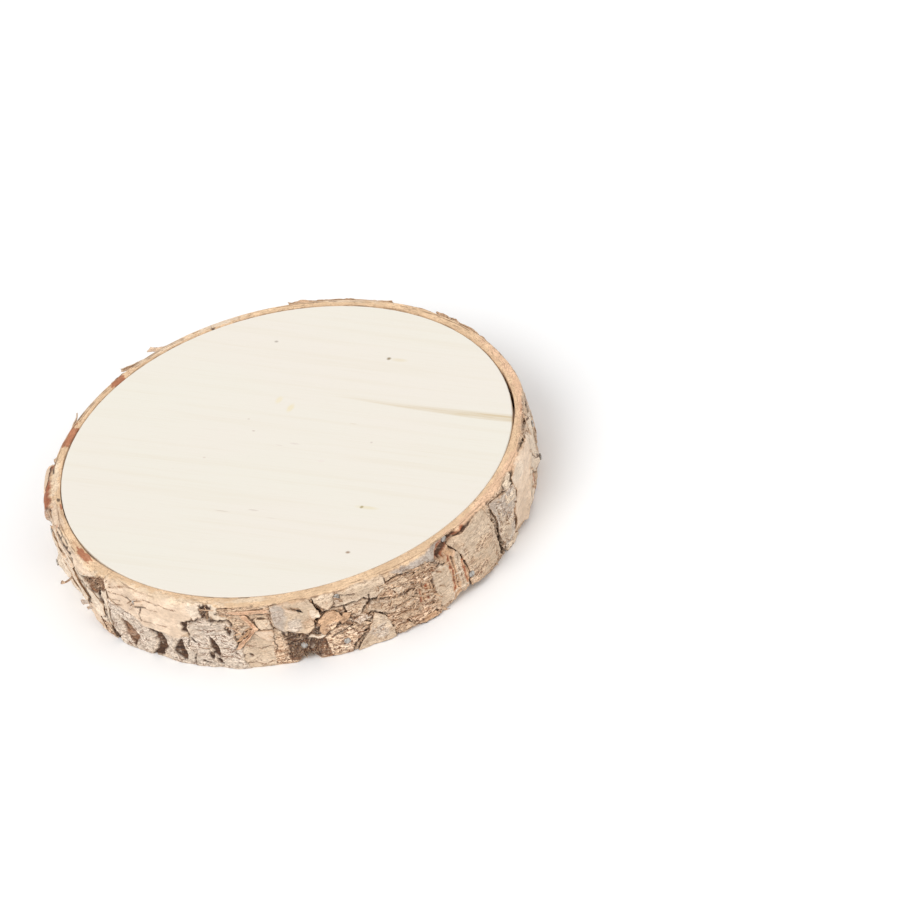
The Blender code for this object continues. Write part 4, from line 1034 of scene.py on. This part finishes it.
def add_sheet(sheets, shade, level, outline, seed):
    """A ragged sheet with a free edge, its middle joined to the bark behind it."""
    corners = np.array([flat_place(angle, depth) for angle, depth, _ in outline])
    lifts = np.array([lift for _, _, lift in outline], float)
    after = np.roll(corners, -1, 0)
    if np.sum(corners[:, 0] * after[:, 1] - after[:, 0] * corners[:, 1]) < 0:
        corners, lifts = corners[::-1], lifts[::-1]
    border, curls = [], []
    for here, there, up, next_up in zip(corners, np.roll(corners, -1, 0), lifts, np.roll(lifts, -1)):
        share = np.arange(max(2, round(math.dist(here, there) / BORDER_STEP)))
        share = share / len(share)
        border.append(here + (there - here) * share[:, None])
        curls.append(up + (next_up - up) * share)
    border, curl = np.concatenate(border), np.concatenate(curls)
    if len(border) % 2:
        border, curl = border[:-1], curl[:-1]
    s, z = border.T
    fray = 0.25 + 0.5 * ease(noise(s / 5, z / 5, seed) + 0.5)
    strays = [fray * (0.8 * layered(s / 2.5, z / 2.5, seed + number, 4)) for number in (1, 2)]
    border = border + np.stack(strays, 1)
    middle = border.mean(0)
    reach = np.hypot(*(border - middle).T)
    rings = max(5, round(reach.max() / RING_STEP))
    share = np.linspace(0.05, 1, rings)[:, None, None] ** 0.8
    place = middle + (border - middle) * share
    s, z = place[..., 0], place[..., 1]
    angle = np.degrees(s / FLAT_RADIUS)
    z = np.clip(z, bumps(angle, SHORT_EDGES) + 0.1, TOP - 0.25)
    to_edge = reach * (1 - share[..., 0])
    patchy = np.clip(0.75 + 0.7 * noise(s / 5, z / 5, seed + 3), 0.1, 1.5)
    lift = curl * patchy * np.clip(1 - to_edge / 4.0, 0, 1) ** 1.6
    skin = Skin(angle, z, shade)
    skin.relief = level + lift + 0.25 * layered(s / 10, z / 7, seed + 4, 3)
    uneven = 0.3 * layered(s / 3, z / 3, SEED + 6)
    for wash, middle, depth, half, tall in WASHES:
        near = np.hypot(around(angle, middle) / half, (TOP - depth - z) / tall)
        skin.paint(wash, 0.85 * ease((1.1 - near + uneven) / 0.5))
    frayed = np.clip(0.3 + noise(s / 3, z / 3, seed + 5), 0, 1)
    skin.paint("torn", 0.8 * ease(1 - to_edge / 0.9) * frayed)
    skin.roughen()
    front = seated(angle, z, rim_radius(angle, z) + skin.relief - 0.2 * ease(1 - to_edge / 0.5))
    loose = ease(lift / 0.45)
    back = front - SHEET_THICKNESS - (1 - loose) * (level + 0.8)
    under = np.broadcast_to(TINTS["torn"] * 0.8 + TINTS["brown"] * 0.2, skin.tint.shape)
    points = np.concatenate([cartesian(angle, front, z), cartesian(angle, back, z)[::-1]])
    flat = np.concatenate([unrolled(s, z, front), unrolled(s, z, back)[::-1]])
    tint = np.concatenate([skin.tint, under])
    marks = np.concatenate([skin.marks, skin.marks[::-1]])
    count = len(border)
    middles = zipped(np.arange(count)), zipped(np.arange(count), -1) + count * (2 * rings - 1)
    quads = np.concatenate([grid_quads(2 * rings, count, wrap_columns=True), *middles])
    sheets.add(points, quads, tint, marks, flat)


def add_flake(
    sheets, angle, height, direction, length, width, lift, shade, seed,
    thick=SHEET_THICKNESS, root=0.3, grain=BORDER_STEP,
):
    """A thin sheet that leaves the bark at its root and curls away to a ragged tip."""
    columns, rows = max(5, round(length / grain)), max(3, round(width / grain))
    share, side = np.meshgrid(np.linspace(0, 1, columns), np.linspace(-1, 1, rows))
    turn = 3 * lift / length * share**2
    step = length / (columns - 1)
    reach = np.cumsum(np.cos(turn), axis=1) * step - step
    off = np.cumsum(np.sin(turn), axis=1) * step
    ragged = min(0.3 * length, 2.6) * (0.5 + 0.5 * layered(side * width / 5, 0 * side, seed, 5))
    reach = reach - ragged * share
    narrow = min(0.45, 4 / width)
    fray = layered(share * length / 4, 0 * share + side, seed + 3, 4)
    fray = min(0.12 * width, 1.0) * fray * (0.3 + share)
    sway = 0.06 * width * noise(share * length / 6, 0 * share, seed + 4)
    sideways = side * (width / 2 * (1 - narrow * share) - fray) + sway
    off = off + 0.3 * lift * noise(reach / 6, sideways / 4, seed + 5) * share - 1.0 * (1 - share) ** 3
    cos, sin = math.cos(math.radians(direction)), math.sin(math.radians(direction))
    turned = angle + np.degrees((reach * cos - sideways * sin) / FLAT_RADIUS)
    level = np.clip(height + reach * sin + sideways * cos, 0.3, TOP - 0.3)
    start = float(rim_radius(np.array(float(angle)), np.array(float(height))))
    radius = start + root + off
    slope = np.clip(turn + 0.1, 0, 1.2)
    skin = Skin(turned, level, shade)
    to_edge = np.minimum((1 - share) * length, (1 - np.abs(side)) * width / 2)
    skin.paint("torn", 0.6 * ease(1 - to_edge / 0.8))
    skin.roughen()
    front = radius + 0.25 * np.clip(skin.relief, -1, 1)
    back = front - thick / np.cos(slope)
    under = np.broadcast_to(TINTS["torn"] * 0.5 + TINTS["cream"] * 0.5, skin.tint.shape)
    points = np.stack([cartesian(turned, front, level), cartesian(turned, back, level)])
    flat = np.stack([unrolled(skin.s, level, front), unrolled(skin.s, level, back)])
    quads = two_sided(rows, columns)
    if points_inward(points[0]):
        quads = quads[:, ::-1]
    sheets.add(points, quads, np.stack([skin.tint, under]), np.stack([skin.marks, skin.marks]), flat)


def points_inward(grid):
    """True if the grid's quads, taken row by row, face the middle of the slice."""
    a, b, c = grid[0, 0], grid[-1, 0], grid[0, -1]
    return float(np.dot(np.cross(b - a, c - a)[:2], a[:2])) < 0


# Where small torn bits stick out: how many, first and last angle, lowest and highest point, direction of
# their tips, length, width, lift, how far out they start, and their shades
CHIPS = {
    "bark_front": [
        (34, 315.8, 317.8, 3, 34, 60, 3.4, 0.9, 1.2, 0.9, ("white", "cream", "brown")),
        (34, 320.2, 321.8, 2, 36, 110, 3.4, 0.9, 1.2, 0.7, ("white", "cream", "grey")),
        (150, 259, 268.4, 3, 22, 0, 2.0, 1.0, 1.1, -0.1, ("crust", "dark", "brown", "beige", "scar",
            "crust")),
        (60, 266, 270, 20, 38, 0, 2.2, 1.2, 0.8, 0.3, ("brown", "crust", "tan")),
        (80, 272.6, 281, 3, 27, 0, 3.0, 1.0, 1.2, 0.5, ("fibre", "sand", "cream", "brown")),
        (170, 283.4, 297.4, 1, 35, -4, 6.0, 1.2, 1.3, 0.5, ("fibre", "sand", "beige", "brown", "torn")),
        (26, 212.1, 214.4, 31, 39.6, 60, 2.2, 0.5, 0.9, -0.1, ("brown", "crust", "fibre", "scar")),
        (30, 243, 250, 1, 28, 0, 2.0, 1.0, 0.4, 0.6, ("white", "cream", "grey")),
        (16, 239.8, 242.6, 32, 38, 90, 4.0, 0.45, 0.8, 0.2, ("dark", "scar", "brown")),
        (7, 220.4, 223.2, 31.6, 34, 20, 5.0, 0.8, 0.5, 1.4, ("grey", "white", "scar")),
        (5, 271, 273.4, 34, 37, 10, 4.0, 1.2, 0.4, 1.3, ("cream", "white", "brown")),
        (60, 320, 328, 3, 37, 30, 2.6, 1.2, 0.8, 1.0, ("white", "grey", "cream", "crust")),
        (20, 244, 257, 22, 38, 0, 7.0, 0.8, 0.9, 0.7, ("orange", "tan", "peach")),
        (16, 336, 346, 2, 14, 0, 2.4, 1.2, 0.6, 0.4, ("peach", "cream", "torn")),
        (12, 340.6, 345.6, 30, 39, 70, 2.6, 1.0, 0.9, 0.5, ("cream", "white", "brown")),
        (24, 350, 382, 2, 30, 0, 4.0, 1.8, 0.5, 0.2, ("white", "cream", "sand", "fibre")),
        (30, 300, 316, 2, 34, 0, 3.2, 0.8, 0.2, 0.9, ("sand", "beige")),
        (1, 289.8, 289.9, 2, 2.1, -70, 6.0, 0.5, 1.2, 0.8, ("brown",)),
    ],
    "bark_left": [
        (130, 203.8, 211.9, 27, 39.4, 60, 2.2, 0.5, 0.9, -0.1, ("brown", "crust", "fibre", "scar",
            "cream")),
        (14, 190, 211, 2, 12, 0, 5.0, 1.4, 0.6, 1.0, ("cream", "white", "fibre")),
    ],
    "bark_back_right": [
        (110, 23, 100, 2, 30, 0, 4.4, 1.8, 0.9, 0.5, ("white", "cream", "sand", "fibre", "brown")),
    ],
    "bark_back_left": [
        (110, 101, 176, 2, 30, 0, 4.4, 1.8, 0.9, 0.5, ("white", "cream", "sand", "fibre", "brown")),
    ],
}


def add_chips(sheets, zone, draw):
    """Scatters the small flakes of one zone."""
    count, first, last, low, high, direction, length, width, lift, root, shades = zone
    for _ in range(count):
        turned = direction + draw.choice((0, 180)) + draw.gauss(0, 26)
        size = draw.uniform(0.5, 1.4)
        place = draw.uniform(first, last), draw.uniform(low, high)
        wide = width * draw.uniform(0.5, 1.5)
        away = lift * draw.uniform(0.4, 1.4) * min(1, size)
        add_flake(
            sheets, *place, turned, length * size, wide, away, draw.choice(shades),
            draw.randrange(SEED_RANGE), thick=CHIP_THICKNESS, root=root, grain=0.55,
        )


# Materials

class Tree:
    """Adds nodes to a new material. An input is a number, a colour or another node's output."""

    def __init__(self, name):
        self.material = bpy.data.materials.new(name)
        self.material.use_nodes = True
        self.nodes = self.material.node_tree.nodes
        self.links = self.material.node_tree.links
        self.shader = self.nodes["Principled BSDF"]

    def put(self, socket, value):
        if isinstance(value, bpy.types.NodeSocket):
            self.links.new(value, socket)
        else:
            socket.default_value = value

    def add(self, kind, inputs, output=0, **settings):
        made = self.nodes.new(kind)
        for key, value in settings.items():
            setattr(made, key, value)
        for key, value in inputs.items():
            self.put(made.inputs[key], value)
        return made.outputs[output]

    def split(self, kind, value):
        """The three parts of a colour or a vector."""
        made = self.nodes.new(kind)
        self.put(made.inputs[0], value)
        return made.outputs[0], made.outputs[1], made.outputs[2]

    def math(self, operation, a, b=0.0, clamp=False):
        return self.add("ShaderNodeMath", {0: a, 1: b}, operation=operation, use_clamp=clamp)

    def times(self, a, b, clamp=False):
        return self.math("MULTIPLY", a, b, clamp)

    def plus(self, a, b, clamp=False):
        return self.math("ADD", a, b, clamp)

    def away(self, value, middle):
        """How far a value lies from the middle."""
        return self.math("ABSOLUTE", self.math("SUBTRACT", value, middle))

    def scaled(self, vector, by):
        return self.add("ShaderNodeVectorMath", {0: vector, 1: by}, operation="MULTIPLY")

    def noise(self, vector, scale, detail=3.0, rough=0.55):
        """A pattern; scale is one number, or one for each axis."""
        if isinstance(scale, tuple):
            vector, scale = self.scaled(vector, scale), 1.0
        inputs = {"Vector": vector, "Scale": scale, "Detail": detail, "Roughness": rough}
        return self.add("ShaderNodeTexNoise", inputs)

    def between(self, value, low, high):
        """0 below low and 1 above high, smooth between."""
        inputs = {"Value": value, "From Min": low, "From Max": high}
        return self.add("ShaderNodeMapRange", inputs, interpolation_type="SMOOTHSTEP")

    def mix(self, share, a, b, blend="MIX"):
        inputs = {0: share, 6: a, 7: b}  # this node's sockets for colours
        return self.add("ShaderNodeMix", inputs, output=2, data_type="RGBA", blend_type=blend)

    def colour(self, shade):
        return (*[float(part) for part in linear(shade)], 1.0)

    def stain(self, base, pattern, low, high, amount, shade):
        """Turns base to a shade as the pattern goes from low to high."""
        share = self.times(self.between(pattern, low, high), amount)
        return self.mix(share, base, self.colour(shade))

    def bump(self, height, strength, depth):
        """A relief too fine for the mesh, its depth in millimetres."""
        return self.add("ShaderNodeBump", {"Strength": strength, "Distance": depth * MM, "Height": height})

    def finish(self, inputs):
        """Sets the shader's inputs and returns the material."""
        for title, value in inputs.items():
            self.put(self.shader.inputs[title], value)
        return self.material


def bark_material():
    tree = Tree("birch_bark")
    place = tree.add("ShaderNodeAttribute", {}, "Vector", attribute_name="unrolled")
    tint = tree.add("ShaderNodeAttribute", {}, "Color", attribute_name="tint")
    marks = tree.add("ShaderNodeAttribute", {}, "Color", attribute_name="marks")
    lines, specks, fibres = tree.split("ShaderNodeSeparateColor", marks)
    cloud = tree.noise(place, (0.10, 0.16, 0.16), 4.0)
    streak = tree.noise(place, (0.07, 1.1, 0.9), 4.0, 0.6)
    thin = tree.noise(place, (0.16, 1.9, 1.5), 3.0, 0.6)
    grain = tree.noise(place, (0.8, 1.3, 1.3), 5.0, 0.7)
    dots = tree.noise(place, (0.7, 1.0, 1.0), 2.0, 0.5)
    hair = tree.away(tree.noise(place, (0.20, 0.42, 0.42), 4.0, 0.6), 0.5)
    lined = tree.plus(lines, fibres)
    pale = tree.mix(tree.between(cloud, 0.35, 0.7), (0.88, 0.85, 0.82, 1), (1.10, 1.09, 1.08, 1))
    base = tree.mix(1.0, tint, pale, "MULTIPLY")
    base = tree.stain(base, streak, 0.50, 0.62, tree.times(fibres, 0.8), (168, 122, 88))
    base = tree.stain(base, thin, 0.58, 0.66, tree.times(lines, 0.85), (112, 86, 68))
    hair_share = tree.times(tree.between(hair, 0.030, 0.008), lined)
    hair_share = tree.times(hair_share, tree.between(cloud, 0.35, 0.55), clamp=True)
    base = tree.mix(hair_share, base, tree.colour((112, 74, 50)))
    base = tree.stain(base, dots, 0.62, 0.68, tree.times(specks, 0.95), (66, 46, 34))
    shade = tree.mix(tree.between(grain, 0.30, 0.70), (0.64, 0.60, 0.57, 1), (1.38, 1.38, 1.38, 1))
    rugged = tree.plus(tree.times(lined, 0.75), 0.06, clamp=True)
    base = tree.mix(rugged, base, tree.mix(1.0, base, shade, "MULTIPLY"))
    height = tree.plus(tree.times(grain, 0.5), tree.times(thin, 0.6))
    return tree.finish({
        "Base Color": base, "Normal": tree.bump(height, 0.9, 0.4),
        "Roughness": tree.between(grain, -0.6, 1.4), "Specular IOR Level": 0.25,
    })


GRAIN_ANGLE = -33.0  # of the wood's grain, in degrees from +X
# The wide stain along the grain: where it lies across the grain, where it starts and ends along it
STREAK = (45.2, 2.0, 122.0)
STREAK_BEND = (75.0, 0.0004)  # where along the grain it lies lowest, and how fast it rises from there
# Marks on the wood: x, y, half length along the grain, half width, shade, strength
WOOD_MARKS = [
    (30.6, -63.0, 1.1, 1.1, (120, 100, 50), 0.95), (33, -64.5, 7, 1.5, (222, 208, 166), 0.45),
    (18.0, -97.6, 1.5, 1.2, (150, 120, 92), 0.85), (63.0, 55.0, 1.3, 1.2, (140, 122, 92), 0.9),
    (68, 51.5, 5, 1.5, (222, 208, 176), 0.45), (8.6, 93.4, 1.3, 0.9, (168, 158, 146), 0.8),
    (2.6, 43.8, 2.0, 3.2, (232, 216, 170), 0.4), (7.4, 34.8, 2.0, 3.6, (230, 214, 166), 0.5),
    (-14, 23.4, 1.0, 0.5, (190, 170, 158), 0.7), (-15, 34.4, 0.9, 0.5, (196, 180, 168), 0.6),
    (-42, 11.8, 1.0, 0.6, (206, 188, 176), 0.6), (-40, -36.5, 4.5, 0.35, (196, 180, 166), 0.6),
    (-24, -42.5, 3.2, 0.5, (200, 186, 174), 0.6), (5, 4, 3.2, 0.7, (212, 198, 190), 0.5),
    (-3, 6, 2.6, 0.4, (214, 200, 190), 0.5), (43.6, -11.4, 0.8, 0.7, (196, 180, 172), 0.6),
    (37, 8, 2.4, 0.35, (214, 198, 176), 0.5), (-16, -53, 3.4, 0.35, (214, 202, 192), 0.5),
    (16, -16, 2.2, 1.2, (228, 216, 208), 0.5),
]


def wood_material():
    tree = Tree("birch_wood")
    place = tree.scaled(tree.add("ShaderNodeTexCoord", {}, "Object"), (1 / MM, 1 / MM, 1 / MM))
    turn = {"Vector": place, "Angle": math.radians(-GRAIN_ANGLE)}
    turned = tree.add("ShaderNodeVectorRotate", turn, rotation_type="Z_AXIS")
    along, across, _ = tree.split("ShaderNodeSeparateXYZ", turned)
    cloud = tree.noise(turned, (0.008, 0.020, 0.02), 2.0)
    bands = tree.noise(turned, (0.006, 0.22, 0.22), 3.0, 0.6)
    fine = tree.noise(turned, (0.035, 1.6, 1.6), 3.0, 0.6)
    pores = tree.noise(turned, (0.30, 3.2, 3.2), 2.0, 0.5)
    green, pink = tree.colour((230, 225, 213)), tree.colour((231, 224, 213))
    base = tree.mix(tree.between(cloud, 0.3, 0.7), green, pink)
    base = tree.stain(base, bands, 0.45, 0.75, 0.30, (224, 214, 195))
    base = tree.stain(base, fine, 0.5, 0.8, 0.25, (220, 209, 190))
    base = tree.stain(base, pores, 0.66, 0.78, 0.22, (202, 184, 160))
    base = wood_streak(tree, base, along, across, bands, fine)
    for x, y, long, wide, shade, amount in WOOD_MARKS:
        base = wood_mark(tree, base, turned, fine, (x, y), (long, wide), shade, amount)
    height = tree.plus(tree.times(fine, 0.7), tree.times(pores, 0.4))
    return tree.finish({
        "Base Color": base, "Normal": tree.bump(height, 0.15, 0.1),
        "Roughness": tree.between(fine, -0.8, 1.6), "Specular IOR Level": 0.3,
    })


def wood_streak(tree, base, along, across, bands, fine):
    """The wide stain, which bends, widens and darkens along the grain."""
    middle, start, end = STREAK
    lowest, rise = STREAK_BEND
    grow = tree.between(along, start, end)
    wander = tree.times(tree.math("SUBTRACT", bands, 0.5), 1.6)
    bent = tree.math("POWER", tree.away(along, lowest), 2.0)
    bent = tree.plus(tree.times(bent, rise), middle)
    off = tree.math("ABSOLUTE", tree.plus(tree.math("SUBTRACT", across, bent), wander))
    half = tree.plus(tree.times(grow, 2.4), 1.0)
    share = tree.math("SUBTRACT", 1.25, tree.math("DIVIDE", off, half))
    share = tree.between(share, 0.0, 0.9)
    share = tree.times(share, tree.between(along, start, start + 30))
    share = tree.times(share, tree.between(bands, 0.1, 0.55))
    share = tree.times(share, tree.plus(tree.times(tree.between(fine, 0.38, 0.62), 0.7), 0.55))
    strength = tree.plus(tree.times(grow, 0.55), 0.22)
    return tree.mix(tree.times(share, strength), base, tree.colour((208, 188, 154)))


def wood_mark(tree, base, turned, fray, centre, size, shade, amount):
    """A small stain, longer along the grain."""
    back = math.radians(-GRAIN_ANGLE)
    x = centre[0] * math.cos(back) - centre[1] * math.sin(back)
    y = centre[0] * math.sin(back) + centre[1] * math.cos(back)
    moved = tree.add("ShaderNodeVectorMath", {0: turned, 1: (x, y, 0)}, operation="SUBTRACT")
    shrunk = tree.scaled(moved, (1 / size[0], 1 / size[1], 0))
    away = tree.add("ShaderNodeVectorMath", {0: shrunk}, "Value", operation="LENGTH")
    away = tree.plus(away, tree.times(tree.math("SUBTRACT", fray, 0.5), 0.8))
    return tree.stain(base, away, 1.25, 0.35, amount, shade)


def steel_material():
    tree = Tree("nail_steel")
    place = tree.add("ShaderNodeTexCoord", {}, "Object")
    scratch = tree.noise(place, 2600.0, 4.0, 0.6)
    cloud = tree.noise(place, 700.0, 2.0)
    worn = tree.mix(tree.between(cloud, 0.4, 0.65), tree.colour((186, 182, 176)), tree.colour((112, 100, 90)))
    return tree.finish({
        "Base Color": worn, "Normal": tree.bump(scratch, 0.3, 0.05),
        "Roughness": tree.between(scratch, -0.4, 1.8), "Metallic": 0.35,
    })


# Pieces

def claim(piece, slot, *nodes):
    """Makes a piece part of the body and the visible form of these nodes."""
    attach(piece, BODY)
    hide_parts(*nodes)


def make_bark(finish):
    """Three pieces for each strip: its body, its sheets and flakes, and its chips."""
    for name in STRIPS:
        draw = random.Random(name)
        base, loose, chips = Sheets(), Sheets(), Sheets()
        add_base(base, name, draw)
        for sheet in SHEETS.get(name, []):
            add_sheet(loose, *sheet, draw.randrange(SEED_RANGE))
        for flake in FLAKES[name]:
            add_flake(loose, *flake, draw.randrange(SEED_RANGE))
        for zone in CHIPS[name]:
            add_chips(chips, zone, draw)
        for parts, ending in ((base, "_body"), (loose, "_sheets"), (chips, "_chips")):
            piece = parts.build(name + ending)
            piece.data.materials.append(finish)
            claim(piece, "birch_bark", name)


# Radius and height of a nail's outline, from the middle of its head's dome to its point
NAIL_OUTLINE = [
    (0, 0.95), (0.6, 0.93), (1.2, 0.86), (1.6, 0.74), (1.78, 0.58), (1.8, 0.4), (1.72, 0.12), (1.6, 0),
    (0.75, -0.1), (0.75, -16.5), (0.4, -18.6), (0, -20),
]
NAIL_SIDES = 24


def make_nails(finish):
    turns = np.linspace(0, 2 * math.pi, NAIL_SIDES, endpoint=False)
    (_, dome), *outline, (_, point) = NAIL_OUTLINE
    rings = [np.stack([up + 0 * turns, r * np.cos(turns), r * np.sin(turns)], -1) for r, up in outline]
    points = np.concatenate([[[dome, 0, 0]], *rings, [[point, 0, 0]]])
    quads = grid_quads(len(outline), NAIL_SIDES, wrap_columns=True)[:, ::-1] + 1
    faces = np.roll(quads, 1, axis=1).tolist()
    for side in range(NAIL_SIDES):
        after = (side + 1) % NAIL_SIDES
        last = 1 + (len(outline) - 1) * NAIL_SIDES
        faces += [(0, 1 + after, 1 + side), (last + side, last + after, len(points) - 1)]
    for name, (angle, height, head) in NAILS.items():
        mesh = bpy.data.meshes.new(name + "_steel")
        mesh.from_pydata((points + np.array([head - HEAD_HEIGHT, 0, 0])).tolist(), [], faces)
        mesh.transform(Matrix.Scale(MM, 4))
        mesh.transform(Matrix.Rotation(math.radians(angle), 4, "Z"))
        mesh.transform(Matrix.Translation((0, 0, height * MM)))
        mesh.shade_smooth()
        mesh.materials.append(finish)
        nail = bpy.data.objects.new(name + "_steel", mesh)
        bpy.context.scene.collection.objects.link(nail)
        claim(nail, "nail_steel", name)


# Camera, light and floor

IMAGE_SIZE = 900
LENS, SENSOR = 1400.0, 36.0
ELEVATION, ROLL = 36.94, 14.3
SCALE = 1936.0  # pixels to a metre at the middle of the upper face
FACE_MIDDLE = (286.4, 450.5)  # that point's place in the image, in pixels
CLIP_END = 60
# Lights: name, where they come from, strength, and how wide they are in degrees
LIGHTS = [("key", (-1.0, -1.0, 1.5), 1.35, 38), ("fill", (1.2, -1.0, 0.9), 0.35, 60)]
SKY = 0.78  # strength of the white light from all round
FLOOR_SIZE = 8
FLOOR_SHADES = (0.94, 0.94, 0.94, 1), (0.96, 0.96, 0.96, 1)


def make_camera():
    """A camera so far away that its rays are almost parallel, as the photo's are."""
    focal = LENS / SENSOR * IMAGE_SIZE
    tilt, roll = math.radians(ELEVATION), math.radians(ROLL)
    back = Vector((0, -math.cos(tilt), math.sin(tilt)))
    level_up = Vector((0, math.sin(tilt), math.cos(tilt)))
    right = Vector((1, 0, 0)) * math.cos(roll) - level_up * math.sin(roll)
    up = Vector((1, 0, 0)) * math.sin(roll) + level_up * math.cos(roll)
    middle = Vector((0, 0, TOP * MM))
    aside = (IMAGE_SIZE / 2 - FACE_MIDDLE[0]) / SCALE
    above = (FACE_MIDDLE[1] - IMAGE_SIZE / 2) / SCALE
    camera = bpy.data.objects.new("camera", bpy.data.cameras.new("camera"))
    camera.data.lens = LENS
    camera.data.sensor_width = SENSOR
    camera.data.clip_end = CLIP_END
    facing = Matrix((right, up, back)).transposed().to_4x4()
    place = middle + right * aside + up * above + back * focal / SCALE
    camera.matrix_world = Matrix.Translation(place) @ facing
    bpy.context.scene.collection.objects.link(camera)
    bpy.context.scene.camera = camera


def soft_light(name, toward, strength, spread):
    """A far light with soft shadows, from the direction given."""
    lamp = bpy.data.lights.new(name, "SUN")
    lamp.energy = strength
    lamp.angle = math.radians(spread)
    obj = bpy.data.objects.new(name, lamp)
    obj.location = toward
    obj.rotation_euler = Vector(toward).to_track_quat("Z", "Y").to_euler()
    bpy.context.scene.collection.objects.link(obj)


def make_stage():
    world = bpy.data.worlds.new("studio")
    world.use_nodes = True
    world.node_tree.nodes["Background"].inputs["Color"].default_value = (1, 1, 1, 1)
    world.node_tree.nodes["Background"].inputs["Strength"].default_value = SKY
    bpy.context.scene.world = world
    for light in LIGHTS:
        soft_light(*light)
    tree = Tree("pale_floor")
    cloud = tree.noise(tree.add("ShaderNodeTexCoord", {}, "Object"), 2.0)
    bpy.ops.mesh.primitive_plane_add(size=FLOOR_SIZE, location=(0, 0, -0.1 * MM))
    floor = bpy.context.object
    floor.name = "floor"
    floor.data.materials.append(tree.finish({"Base Color": tree.mix(cloud, *FLOOR_SHADES), "Roughness": 0.9}))
    bpy.context.scene.view_settings.view_transform = "Standard"


def main():
    make_camera()
    make_stage()
    make_bark(bark_material())
    make_nails(steel_material())
    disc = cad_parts["wood_disc"]
    disc.data.materials.clear()
    disc.data.materials.append(wood_material())


main()
